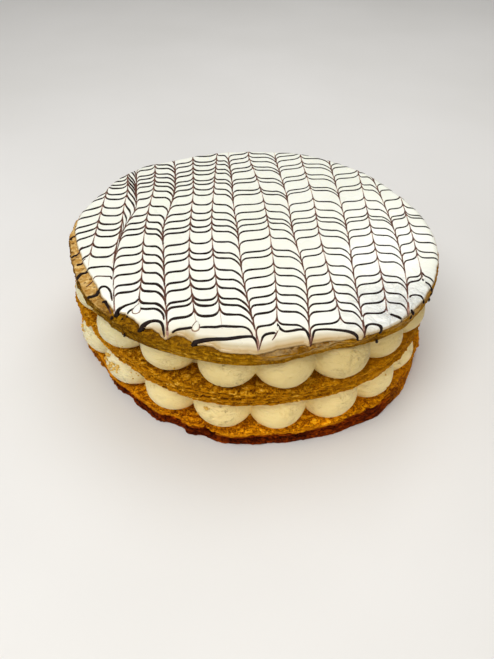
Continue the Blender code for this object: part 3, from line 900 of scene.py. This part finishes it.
def eased(table, places):
    """Values between (place, value) pairs, by a cubic that doesn't overshoot them."""
    known, values = np.array(table).T / 1000
    steps = np.diff(known)
    slopes = np.diff(values) / steps
    turns = np.zeros(len(known))
    turns[0], turns[-1] = slopes[0], slopes[-1]
    for index in range(1, len(known) - 1):
        before, after = slopes[index - 1:index + 1]
        turns[index] = 2 * before * after / (before + after) if before * after > 0 else 0
    index = np.clip(np.searchsorted(known, places, side="right") - 1, 0, len(known) - 2)
    share = (places - known[index]) / steps[index]
    rest = 1 - share
    return (
        values[index] * (1 + 2 * share) * rest ** 2
        + values[index + 1] * share ** 2 * (3 - 2 * share)
        + steps[index] * (turns[index] * share * rest ** 2 - turns[index + 1] * share ** 2 * rest)
    )


def shape_between(stroke):
    """Shape of a row between a stroke and the next."""
    if stroke in OUTER_SHAPES:
        return OUTER_SHAPES[stroke]
    return SHAPES[STROKES[stroke][0], STROKES[stroke + 1][0]]


def row_curve(first, last, heights):
    """(x, y, distance from the nearest stroke, its strength) along one row, in radii."""
    made = []
    places = np.array(ROW_PLACES) / 1000
    for stroke in range(first, last):
        for share, offset in zip(places, eased(shape_between(stroke), places)):
            y = row_level(heights, stroke + share) + offset
            left, right = stroke_x(stroke, y), stroke_x(stroke + 1, y)
            near = min(share, 1 - share) * (right - left)
            faint = FAINT_STROKES.get(stroke if share < 0.5 else stroke + 1, 1.0)
            made.append(((1 - share) * left + share * right, y, near, faint))
    return np.array(made)


def runs_on_icing(curve):
    """The stretches of a curve that lie on the icing, cut at its edge."""
    x, y = curve.T[:2]
    rooms = icing_radius(np.degrees(np.arctan2(y, x))) - CAKE_RADIUS * np.hypot(x, y) - LINE_END_ROOM
    runs, run = [], []
    for index, point in enumerate(curve):
        if index and (rooms[index] > 0) != (rooms[index - 1] > 0):
            share = rooms[index - 1] / (rooms[index - 1] - rooms[index])
            run.append(curve[index - 1] + share * (point - curve[index - 1]))
            if rooms[index] <= 0:
                runs.append(run)
                run = []
        if rooms[index] > 0:
            run.append(point)
    runs.append(run)
    return [np.array(run) for run in runs if len(run) > 3]


def add_ribbon(heap, line, half_width, lift, fade):
    """Low ridge along a line in metres; the other values are given at each of its points."""
    keep = np.concatenate([[True], np.hypot(*np.diff(line, axis=0).T) > 1e-6])
    line = line[keep]
    half_width, lift, fade = (
        np.broadcast_to(value, len(keep))[keep, None] for value in (half_width, lift, fade)
    )
    along = np.gradient(line, axis=0)
    along /= np.maximum(np.hypot(*along.T), 1e-9)[:, None]
    aside, share = np.array(SECTION).T
    x = line[:, :1] - along[:, 1:] * (aside * half_width)
    y = line[:, 1:] + along[:, :1] * (aside * half_width)
    rings = surface_point(x, y, lift * share - LINE_ROOT * (share == 0))
    heap.add(rings, tube_faces(len(line), len(SECTION), clockwise=True), fade)


def wander(line, waves, seed):
    """Slow unevenness along a line in metres."""
    return fractal(stack(*line.T) * waves, 1, 2, seed)


def add_rows(lines):
    for index, (first, last, heights) in enumerate(ROWS):
        front = smooth_step(FRONT_FROM, FRONT_TO, index)
        for run in runs_on_icing(row_curve(first, last, heights)):
            line = run[:, :2] * CAKE_RADIUS
            slope = np.gradient(line, axis=0)
            level = np.abs(slope[:, 0]) / np.maximum(np.hypot(*slope.T), 1e-9)
            left = smooth_step(LEFT_FROM, LEFT_TO, run[:, 0])
            width = LINE_WIDTH * (1 + FRONT_WIDENING * front) * (1 + LEFT_WIDENING * left)
            width = width * (1 + LINE_UNEVEN * wander(line, 190, index))
            half = np.maximum(width / 2 * level ** 0.55, LEAST_LINE * run[:, 3])
            fade = 1 - smooth_step(FADE_FROM, FADE_TO, run[:, 2])
            add_ribbon(lines, line, half, LINE_LIFT * (1 - 0.55 * fade), 0.6 * fade)


def add_free_lines(lines):
    for index, (widths, points) in enumerate(FREE_LINES):
        line = curve_through(np.array(points) / 1000) * CAKE_RADIUS
        share = np.linspace(0, 1, len(line))
        width = 0.001 * np.interp(share, np.linspace(0, 1, len(widths)), widths)
        width = width * (1 + 0.10 * wander(line, 260, 60 + index))
        thick = np.clip(width / 0.003, 0.35, 1)
        blunt = np.sqrt(np.clip(np.minimum(share, 1 - share) * 12 + 0.25, 0, 1))
        fade = 0.7 * (1 - smooth_step(0.0012, 0.0017, width))
        add_ribbon(lines, line, width / 2 * blunt, FREE_LINE_LIFT * thick * blunt, fade)


def add_drops(lines):
    share = np.linspace(0, 1, 9)
    round_off = np.sqrt(np.maximum(1 - (2 * share - 1) ** 2, 0.04))
    for index, (degrees, radii, width, length) in enumerate(DROPS):
        radius = radii * CAKE_RADIUS + 0.001 * length * (share - 0.5)
        sway = math.radians(degrees) + 0.004 * np.sin(3 * share + index)
        line = polar(radius, sway)[:, :2]
        add_ribbon(lines, line, 0.0005 * width * round_off, DROP_LIFT * round_off, 0.0)


def row_tips(stroke):
    """The y of every cusp along a stroke."""
    tip = AWAY_TIP if STROKES[stroke][0] == AWAY else TOWARDS_TIP
    rows = [heights for first, last, heights in ROWS if first <= stroke <= last]
    return np.array([row_level(heights, stroke) + tip for heights in rows])


def add_streaks(streaks):
    """Brown streaks of chocolate dragged along each stroke, darkest just beyond a cusp."""
    for stroke, (way, end, _) in enumerate(STROKES):
        faint = FAINT_STROKES.get(stroke, 1.0)
        tips = row_tips(stroke)
        y = np.arange(STREAK_START, end / 1000, -STREAK_STEP)
        for run in runs_on_icing(stack([stroke_x(stroke, value) for value in y], y)):
            beyond = way * (run[:, 1][:, None] - tips[None, :])
            near = np.where(beyond > -CUSP, np.exp(-np.maximum(beyond, 0) / SMEAR), 0).max(axis=1)
            path = run[:, :2] * CAKE_RADIUS
            path[:, 0] += STREAK_SWAY * wander(path, 300, 80 + stroke)
            patchy = 0.5 + 0.5 * wander(path, 420, 90 + stroke)
            strength = np.clip(STREAK_LEAST + STREAK_GAIN * near * (0.6 + 0.7 * patchy), 0, 1)
            half = faint * STREAK_WIDTH / 2 * (0.5 + 0.8 * near)
            if way == TOWARDS:
                left = run[:, 1] - run[-1, 1]
                tail = faint * smooth_step(TAIL, 0.3 * TAIL, left)
                half = half + tail * (TAIL_WIDTH / 2 - half)
                half = half * (0.3 + 0.7 * smooth_step(0, 0.02, left))
                strength = strength + tail * (TAIL_DARKNESS - strength)
            add_ribbon(streaks, path, half, STREAK_LIFT, strength)


def blister_point(blister, angle, size=1.0):
    """x and y in metres on a blister's outline, which is narrower at one end."""
    x, y, length, degrees = blister
    turn = math.radians(degrees)
    along = np.cos(angle) * size * length / 2
    aside = np.sin(angle) * size * length * (0.21 - 0.10 * np.cos(angle))
    return (
        x * CAKE_RADIUS + 0.001 * (along * math.cos(turn) - aside * math.sin(turn)),
        y * CAKE_RADIUS + 0.001 * (along * math.sin(turn) + aside * math.cos(turn)),
    )


def add_blister_rims(streaks):
    """Brown line round most of each long blister, left by the stroke that ended there."""
    angle = np.linspace(math.radians(20), math.radians(290), 26)
    for blister in BLISTERS:
        if blister[2] >= LONG_BLISTER:
            path = np.stack(blister_point(blister, angle), axis=1)
            patchy = 0.5 + 0.5 * wander(path, 500, 120)
            strength = np.clip(0.45 + 0.6 * patchy, 0, 1)
            add_ribbon(streaks, path, BLISTER_RIM / 2 * (0.5 + patchy), 3 * STREAK_LIFT, strength)


def make_blisters(material):
    """Small raised drops of icing where the comb left it."""
    heap = Heap()
    insets = np.array(BLISTER_INSETS)[:, None]
    lean = np.linspace(0, math.pi / 2, len(insets))[:, None]
    angle = math.tau * np.arange(BLISTER_SIDES) / BLISTER_SIDES
    for blister in BLISTERS:
        x, y = blister_point(blister, angle, np.cos(lean))
        rings = surface_point(x, y, -BLISTER_ROOT + BLISTER_HEIGHT * np.sin(lean))
        heap.add(rings, tube_faces(len(insets), BLISTER_SIDES), insets)
    return heap.finish("blisters", "inset", material)


# ---------------------------------------------------------------- crumbs


def crumb_spots(places, seed):
    """(place, size) of each crumb on the mounds."""
    draw = random.Random(seed)
    spots = []
    for layer, degrees, count, rises, sizes in places:
        for _ in range(count):
            angle = math.radians(draw.uniform(*degrees))
            rise = draw.uniform(*rises)
            size = draw.uniform(*sizes)
            radius = cream_radius(np.array(angle), np.array(rise), layer) + CRUMB_STAND * size
            spots.append((polar(radius, angle, level_at(rise, layer)), size))
    return spots


def make_crumbs(spots, seed, material):
    """Small irregular crumbs, each pressed a little into what it lies on."""
    draw = random.Random(seed)
    bm = bmesh.new()
    bmesh.ops.create_icosphere(bm, subdivisions=2, radius=1)
    form = np.array([vert.co[:] for vert in bm.verts])
    faces = [tuple(vert.index for vert in face.verts) for face in bm.faces]
    bm.free()
    heap = Heap()
    for number, (place, size) in enumerate(spots):
        stretch = np.array([draw.uniform(0.6, 1.2) for _ in range(3)])
        dents = fractal(form * 1.3 + number, 1, 2, 7)
        shape = form * (1 + 0.5 * dents)[:, None] * stretch * size
        angle = draw.uniform(0, math.tau)
        axis = Vector([draw.uniform(-1, 1) for _ in range(3)])
        turn = np.array(Matrix.Rotation(angle, 3, axis))
        heap.add(shape @ turn.T + place, faces, draw.uniform(0.3, 1.0))
    return heap.finish("crumbs", "relief_light_and_tone", material)


# ---------------------------------------------------------------- materials


class Nodes:
    """Wires the nodes of one procedural material."""

    def __init__(self, name):
        self.material = bpy.data.materials.new(name)
        self.material.use_nodes = True
        self.tree = self.material.node_tree
        self.shader = self.tree.nodes["Principled BSDF"]
        self.place = self.add("ShaderNodeTexCoord", {}, "Object")
        split = self.add("ShaderNodeSeparateXYZ", {0: self.place}).node
        self.x, self.y, self.z = split.outputs

    def feed(self, socket, source):
        """Sets a socket to a number or colour, or links it to another node's output."""
        if isinstance(source, bpy.types.NodeSocket):
            self.tree.links.new(source, socket)
        else:
            socket.default_value = source

    def add(self, kind, inputs, output=0, **settings):
        """An output of a new node."""
        node = self.tree.nodes.new(kind)
        for key, value in settings.items():
            setattr(node, key, value)
        for key, source in inputs.items():
            self.feed(node.inputs[key], source)
        return node.outputs[output]

    def noise(self, scale, detail=4.0, roughness=0.55, stretch=(1, 1, 1), distortion=0.0):
        place = self.add("ShaderNodeMapping", {"Vector": self.place, "Scale": stretch})
        inputs = {
            "Vector": place, "Scale": scale, "Detail": detail, "Roughness": roughness,
            "Distortion": distortion,
        }
        return self.add("ShaderNodeTexNoise", inputs, "Fac")

    def cells(self, scale):
        inputs = {"Vector": self.place, "Scale": scale}
        return self.add("ShaderNodeTexVoronoi", inputs, "Distance")

    def attribute(self, name):
        return self.add("ShaderNodeAttribute", {}, "Fac", attribute_name=name)

    def maths(self, operation, first, second=0.0, clamp=False):
        inputs = {0: first, 1: second}
        return self.add("ShaderNodeMath", inputs, operation=operation, use_clamp=clamp)

    def times(self, first, *others):
        for other in others:
            first = self.maths("MULTIPLY", first, other)
        return first

    def inverse(self, value):
        return self.maths("SUBTRACT", 1.0, value)

    def span(self, value, low, high, to_low=0.0, to_high=1.0):
        """to_low where the value is low, eased into to_high where it is high."""
        inputs = {
            "Value": value, "From Min": low, "From Max": high, "To Min": to_low,
            "To Max": to_high,
        }
        return self.add("ShaderNodeMapRange", inputs, "Result", interpolation_type="SMOOTHSTEP")

    def ramp(self, value, *stops):
        """Colour at a value between (place, red, green, blue as seen) stops."""
        colour = self.add("ShaderNodeValToRGB", {"Fac": value}, "Color")
        elements = colour.node.color_ramp.elements
        while len(elements) < len(stops):
            elements.new(0.5)
        for element, (position, *seen) in zip(elements, stops):
            element.position = position
            element.color = srgb(*seen)
        return colour

    def two_tone(self, value, low, high):
        return self.ramp(value, (0.3, *low), (0.7, *high))

    def mix(self, share, first, second, blend="MIX"):
        inputs = {0: share, 6: first, 7: second}
        return self.add("ShaderNodeMix", inputs, 2, data_type="RGBA", blend_type=blend)

    def tint(self, share, base, *seen):
        """The base, multiplied by a colour where the share is full."""
        return self.mix(share, base, srgb(*seen), "MULTIPLY")

    def blend(self, share, first, second):
        """A number between two numbers."""
        return self.add("ShaderNodeMix", {0: share, 2: first, 3: second}, data_type="FLOAT")

    def bump(self, height, strength, distance, *under):
        """Normal that follows a height, on top of the bump under it if there is one."""
        inputs = {"Height": height, "Strength": strength, "Distance": distance}
        for normal in under:
            inputs["Normal"] = normal
        return self.add("ShaderNodeBump", inputs)

    def set(self, **values):
        """Sets the shader's inputs, and gives the material."""
        for key, value in values.items():
            self.feed(self.shader.inputs[key.replace("_", " ")], value)
        return self.material


def icing_material():
    """White icing, creamier where it thins out along the front, partly as painted shade on the front
    lip and edge, and crinkled at the right, where painted shade greys it a little.
    """
    made = Nodes("icing_white")
    mottle = made.noise(22, detail=3)
    film_and_shade = made.times(made.span(made.x, 0.03, 0.09), made.span(made.y, -0.03, -0.08))
    body = made.two_tone(mottle, (246, 247, 230), (250, 250, 237))
    # painted shade: the crinkled film at the right front is painted a little greyer
    body = made.mix(film_and_shade, body, srgb(243, 243, 235))
    inset = made.attribute("inset")
    thin_and_shaded = made.ramp(
        made.maths("DIVIDE", inset, 8.0), (0.04, 172, 138, 80), (0.26, 192, 166, 116),
        (0.52, 197, 179, 138), (0.98, 238, 231, 208),
    )
    # front lip: partly the crust showing through the thin icing, partly painted shade
    body = made.mix(made.span(made.y, -0.096, -0.112), body, thin_and_shaded)
    # the edge all round, browner: partly thin icing over the crust, partly painted shade
    body = made.mix(made.span(inset, 1.2, 0.0, 0.0, 0.85), body, srgb(200, 174, 126))
    slow = made.bump(made.noise(26, detail=2), 0.12, 0.004)
    crinkle = made.noise(95, roughness=0.6, distortion=1.8)
    wrinkled = made.bump(made.times(crinkle, film_and_shade), 1.0, 0.0055, slow)
    return made.set(
        Base_Color=body,
        Roughness=made.blend(film_and_shade, made.span(mottle, 0.25, 0.75, 0.22, 0.36), 0.16),
        Subsurface_Weight=0.12,
        Subsurface_Scale=0.004,
        Subsurface_Radius=(1.0, 0.85, 0.6),
        Specular_IOR_Level=0.5,
        Coat_Weight=0.25,
        Coat_Roughness=0.12,
        Normal=made.bump(made.noise(900, detail=2), 0.05, 0.0004, wrinkled),
    )


def chocolate_material():
    """Dark chocolate, browner where it was dragged thin."""
    made = Nodes("chocolate")
    mottle = made.noise(260, detail=3)
    dark = made.ramp(mottle, (0.3, 20, 9, 5), (0.75, 38, 22, 16))
    return made.set(
        Base_Color=made.mix(made.attribute("fade"), dark, srgb(112, 70, 54)),
        Roughness=made.span(mottle, 0.3, 0.7, 0.38, 0.5),
        Specular_IOR_Level=0.1,
        Normal=made.bump(made.noise(700, detail=2), 0.12, 0.0004),
    )


def streak_material():
    """Chocolate smeared into the icing, from hardly any to brown."""
    made = Nodes("chocolate_streak")
    mottle = made.noise(420, detail=3)
    patchy = made.span(mottle, 0.25, 0.7, 0.7, 1.25)
    share = made.maths("MULTIPLY", made.attribute("fade"), patchy, clamp=True)
    tint = made.ramp(
        share, (0.0, 246, 242, 226), (0.3, 206, 180, 160), (0.6, 158, 116, 98), (1.0, 92, 56, 42),
    )
    return made.set(
        Base_Color=tint,
        Roughness=made.span(mottle, 0.3, 0.7, 0.28, 0.4),
        Specular_IOR_Level=0.25,
        Normal=made.bump(mottle, 0.1, 0.0004),
    )


def cream_material():
    """Piped cream, wetter on the left, with small pits and short creases; its colour holds painted
    light: whiter on the left, brighter low down, and painted shade to the right, under the top disc
    and in the pits and creases.
    """
    made = Nodes("piped_cream")
    mottle = made.noise(36)
    marks = made.noise(190, detail=3, stretch=(1, 1, 2.6), distortion=0.8)
    left = made.span(made.x, -0.035, -0.100)
    right = made.span(made.x, -0.005, 0.085)
    low = made.span(made.z, 0.050, 0.036)
    # painted light: lit and shaded copies of one cream, whiter on the left, brighter low down as if
    # lit from below, and darker on the right as painted shade
    warm = made.two_tone(mottle, (217, 194, 129), (227, 207, 147))
    lit_from_below = made.two_tone(mottle, (238, 212, 142), (244, 222, 158))
    pale = made.two_tone(mottle, (226, 212, 160), (236, 226, 184))
    shaded_right = made.two_tone(mottle, (201, 177, 112), (213, 190, 129))
    body = made.mix(left, made.mix(low, made.mix(right, warm, shaded_right), lit_from_below), pale)
    # painted shade under the top disc, on the upper ring's left
    shade_under_top = made.times(left, made.span(made.z, 0.048, 0.056))
    body = made.tint(shade_under_top, body, 236, 236, 230)
    crease = made.span(made.maths("ABSOLUTE", made.maths("SUBTRACT", marks, 0.5)), 0.012, 0.0)
    pits = made.span(made.cells(200), 0.24, 0.08)
    sparse = made.span(made.noise(70, detail=2), 0.52, 0.60)
    # painted shade: the pits and creases are darkened in the base colour, beside their bump
    hollow = made.times(made.maths("MAXIMUM", pits, crease), sparse)
    soft = made.bump(marks, 0.70, 0.0015)
    holed = made.bump(made.inverse(hollow), 0.8, 0.0012, soft)
    return made.set(
        Base_Color=made.mix(made.times(hollow, 0.34), body, srgb(180, 144, 82)),
        Roughness=made.blend(left, made.span(mottle, 0.3, 0.7, 0.40, 0.55), 0.22),
        Subsurface_Weight=0.25,
        Subsurface_Scale=0.005,
        Subsurface_Radius=(1.0, 0.75, 0.35),
        Specular_IOR_Level=0.5,
        Normal=made.bump(made.noise(520), 0.25, 0.0004, holed),
    )


def pastry_material(name, stops, striation, contrast=1.0, shaded_foot=False, pale_ledge=False):
    """Baked crust, with painted light in its colour: painted shade darkens its splits and pores, and
    painted highlight pales the leaves that stand proud.
    """
    made = Nodes(name)
    flakes = made.noise(290, detail=6, roughness=0.64, stretch=(1, 1, 2.8), distortion=0.5)
    layers = made.noise(42, detail=6, roughness=0.65, stretch=(1, 1, 22))
    fine = made.noise(820, detail=5, roughness=0.65)
    broad = made.noise(21, detail=3)
    split = made.span(made.maths("ABSOLUTE", made.maths("SUBTRACT", flakes, 0.47)), 0.0, 0.038)
    busy = made.span(made.attribute("rugged"), 0.2, 0.8, 0.35, 1.0)
    # painted light from the relief on the discs; on loose leaves and crumbs the same mark is a
    # random tone
    value = made.times(made.maths("SUBTRACT", made.attribute("relief_light_and_tone"), 0.5), 0.45)
    for texture, share in ((fine, 1.2), (flakes, 1.6), (layers, 1.2 * striation), (broad, 0.4)):
        part = made.times(made.maths("SUBTRACT", texture, 0.5), share * contrast)
        value = made.maths("ADD", value, part)
    value = made.maths("ADD", made.times(value, busy), 0.5, clamp=True)
    # painted shade in the splits
    split_shade = made.times(made.inverse(split), made.times(busy, 0.75))
    crust = made.mix(split_shade, made.ramp(value, *stops), srgb(*stops[0][1:]))
    height = made.maths("ADD", flakes, made.times(layers, striation))
    normal = made.bump(made.times(height, busy), 0.9, 0.0016)
    normal = made.bump(split, 0.5, 0.0006, normal)
    if shaded_foot:
        crust = foot_light_shade_and_tone(made, crust)
    if pale_ledge:
        pocks_and_shade = made.span(made.cells(230), 0.32, 0.14)
        crust = ledge_tint(made, crust, flakes, pocks_and_shade)
        normal = made.bump(made.inverse(pocks_and_shade), 0.8, 0.0010, normal)
    return made.set(
        Base_Color=crust,
        Roughness=made.span(fine, 0.3, 0.7, 0.55, 0.8),
        Specular_IOR_Level=0.05,
        Normal=made.bump(fine, 0.7, 0.0006, normal),
    )


def foot_light_shade_and_tone(made, crust):
    """The bottom disc is brighter on top, as painted light, and its side is darkest in front, as
    painted shade.
    """
    upward = made.attribute("upward")
    front = made.span(made.y, -0.040, -0.090, 0.3, 1.0)
    # painted light: the top in front is brightened as if lit from below and in front
    front_top_light = made.times(
        upward, front, made.span(made.x, -0.030, 0.040, 0.15, 1.0),
        made.span(made.x, 0.088, 0.050, 0.45, 1.0),
    )
    crust = made.mix(front_top_light, crust, (1.50, 1.68, 1.05, 1.0), "MULTIPLY")
    crust = made.tint(made.times(upward, made.span(made.x, 0.055, 0.095)), crust, 242, 244, 190)
    right = made.times(made.span(made.x, 0.020, 0.060), made.span(made.x, 0.105, 0.092))
    height = made.maths("SUBTRACT", made.z, made.times(right, 0.0006))
    # painted shade on the lower side in front
    low = made.times(
        made.span(height, 0.0101, 0.0085), front, made.span(made.x, 0.112, 0.088, 0.3, 1.0),
    )
    shade = made.ramp(made.noise(75), (0.38, 124, 74, 26), (0.64, 190, 128, 50))
    return made.mix(low, crust, shade, "MULTIPLY")


def ledge_tint(made, crust, flakes, pocks_and_shade):
    """The rim that the icing leaves bare is paler and pocked on the left, with painted shade in the
    pocks, and browner in front; the side gets painted shade on the left and glaze with painted
    highlight on the right.
    """
    upward = made.attribute("upward")
    pale = made.ramp(flakes, (0.28, 152, 100, 30), (0.46, 206, 156, 78), (0.66, 240, 206, 138))
    # painted shade: the pocks on the left ledge are painted darker
    pale = made.mix(made.times(pocks_and_shade, 0.75), pale, srgb(118, 70, 20))
    baked = made.tint(upward, crust, 206, 198, 130)
    left = made.span(made.x, -0.080, -0.102)
    crust = made.mix(left, baked, made.mix(upward, crust, pale))
    # painted shade: the top disc's side is darkened on the left
    left_side_shade = made.times(made.inverse(upward), made.span(made.x, -0.030, -0.075))
    crust = made.tint(left_side_shade, crust, 208, 206, 206)
    streaked = made.span(made.noise(60, stretch=(1, 1, 14)), 0.42, 0.60)
    # pale streaks: real glaze, and past about 305 degrees painted highlight
    veil_and_glints = made.times(made.attribute("glaze_and_glints"), streaked, 0.62)
    return made.mix(veil_and_glints, crust, srgb(212, 188, 138))


def crumb_material():
    made = Nodes("crumb_gold")
    mottle = made.noise(700)
    value = made.maths("ADD", made.times(made.attribute("relief_light_and_tone"), 0.5), made.times(mottle, 0.5))
    return made.set(
        Base_Color=made.ramp(value, (0.3, 196, 150, 56), (0.6, 222, 182, 92), (0.9, 240, 214, 140)),
        Roughness=made.span(mottle, 0.3, 0.7, 0.55, 0.8),
        Specular_IOR_Level=0.2,
        Normal=made.bump(mottle, 0.5, 0.0005),
    )


def floor_material():
    made = Nodes("pale_floor")
    cloud = made.noise(3, detail=3)
    return made.set(
        Base_Color=made.two_tone(cloud, (226, 224, 220), (232, 230, 227)),
        Roughness=made.span(cloud, 0.3, 0.7, 0.6, 0.7),
        Normal=made.bump(made.noise(160, detail=3), 0.04, 0.0004),
    )


# ---------------------------------------------------------------- studio


def add_floor():
    corners = ((-1, -1), (1, -1), (1, 1), (-1, 1))
    points = [(FLOOR_SIZE * x, FLOOR_SIZE * y, -FLOOR_DROP) for x, y in corners]
    mesh = bpy.data.meshes.new("floor")
    mesh.from_pydata(points, [], [(0, 1, 2, 3)])
    mesh.materials.append(floor_material())
    floor = link("floor", mesh)


def add_lamp(name, place, size, power, colour):
    lamp = bpy.data.lights.new(name, "AREA")
    lamp.shape = "DISK"
    lamp.size = size
    lamp.energy = power
    lamp.color = colour
    obj = link(name, lamp)
    obj.location = place
    obj.rotation_euler = (Vector(LAMP_AIM) - Vector(place)).to_track_quat("-Z", "Y").to_euler()


def add_world():
    world = bpy.data.worlds.new("studio")
    world.use_nodes = True
    background = world.node_tree.nodes["Background"]
    background.inputs["Color"].default_value = (1.0, 0.99, 0.97, 1)
    background.inputs["Strength"].default_value = 0.34
    bpy.context.scene.world = world
    bpy.context.scene.view_settings.view_transform = "Standard"


def add_camera():
    """Camera at the photograph's viewing angle: 41 degrees down, rolled a little."""
    ahead = Vector((0, math.cos(CAMERA_DOWN), -math.sin(CAMERA_DOWN)))
    up = Vector((0, math.sin(CAMERA_DOWN), math.cos(CAMERA_DOWN)))
    right = Vector((1, 0, 0))
    rolled_right = math.cos(CAMERA_ROLL) * right + math.sin(CAMERA_ROLL) * up
    rolled_up = -math.sin(CAMERA_ROLL) * right + math.cos(CAMERA_ROLL) * up
    matrix = Matrix((rolled_right, rolled_up, -ahead)).transposed().to_4x4()
    matrix.translation = Vector(CAMERA_AIM) * CAKE_RADIUS - CAMERA_DISTANCE * CAKE_RADIUS * ahead
    camera = bpy.data.cameras.new("camera")
    camera.sensor_width = SENSOR_WIDTH
    camera.lens = FOCAL_SHARE * SENSOR_WIDTH
    obj = link("camera", camera)
    obj.matrix_world = matrix
    bpy.context.scene.camera = obj


# ---------------------------------------------------------------- cake


def add_pastry():
    base = pastry_material("crust_base", EMBER, 0.3, shaded_foot=True)
    lower = pastry_material("crust_lower", GOLDEN, 0.45)
    upper = pastry_material("crust_top", OLIVE, 0.9, contrast=0.7, pale_ledge=True)
    bottom, bottom_edges = make_pastry("crust_bottom", BOTTOM_DISC, base)
    middle, middle_edges = make_pastry("crust_middle", MIDDLE_DISC, lower)
    top, _ = make_pastry("crust_top", TOP_DISC, upper)
    dress(bottom, "puff_pastry", "pastry_bottom")
    dress(middle, "puff_pastry", "pastry_middle")
    dress(top, "puff_pastry", "pastry_top")
    low_places = ((-180, 180), (0.74, 0.98)), ((-180, -60), (0.74, 0.98))
    high_places = ((-200, -80), (0.08, 0.97)), ((-180, 180), (0.08, 0.97))
    low = make_leaves("leaves_bottom", BOTTOM_DISC, bottom_edges, low_places, 420, 5, base)
    high = make_leaves("leaves_middle", MIDDLE_DISC, middle_edges, high_places, 560, 6, lower)
    dress(low, "puff_pastry")
    dress(high, "puff_pastry")


def add_cream(lower, upper):
    cream = cream_material()
    dress(make_cream("mounds_lower", lower, 3, cream), "cream", "cream_lower")
    dress(make_cream("mounds_upper", upper, 5, cream), "cream", "cream_upper")


def add_icing():
    icing = icing_material()
    dress(make_icing(icing), "icing", "icing")
    lines, streaks = Heap(), Heap()
    add_rows(lines)
    add_free_lines(lines)
    add_drops(lines)
    add_streaks(streaks)
    add_blister_rims(streaks)
    lines = lines.finish("chocolate_lines", "fade", chocolate_material())
    streaks = streaks.finish("chocolate_streaks", "fade", streak_material())
    dress(lines, "icing", "icing")
    dress(streaks, "icing", "icing")
    dress(make_blisters(icing), "icing")


def add_crumbs(lower, upper):
    """Crumbs on the mounds: most on the left of the lower ring, and some there in clumps."""
    spots = crumb_spots((
        (lower, (195, 240), 34, (-0.1, 0.95), SMALL_CRUMBS),
        (lower, (-180, 180), 40, (-0.9, 0.9), SMALL_CRUMBS),
        (upper, (-180, 180), 24, (-0.95, -0.3), SMALL_CRUMBS),
        (lower, (222.0, 226.0), 26, (0.10, 0.55), CLUMP_CRUMBS),
        (lower, (219.0, 221.5), 8, (0.30, 0.80), CLUMP_CRUMBS),
        (lower, (201.5, 203.5), 5, (0.25, 0.5), CLUMP_CRUMBS),
        (lower, (257.0, 259.0), 5, (0.45, 0.6), CLUMP_CRUMBS),
    ), 9)
    dress(make_crumbs(spots, 13, crumb_material()), "puff_pastry")


def main():
    lower_mounds = place_mounds(3, LOWER_DRIFT, LOWER_SHIFTS)
    upper_mounds = place_mounds(5, UPPER_DRIFT, UPPER_SHIFTS)
    lower = Layer(PASTRY_BOTTOM_TOP + GAP, CREAM_LOWER_TOP, lower_mounds, EVEN)
    upper = Layer(PASTRY_MIDDLE_TOP + GAP, CREAM_UPPER_TOP, upper_mounds, UPPER_HOLLOW)
    add_pastry()
    add_cream(lower, upper)
    add_icing()
    add_crumbs(lower, upper)
    add_floor()
    add_world()
    for lamp in LAMPS:
        add_lamp(*lamp)
    add_camera()


main()
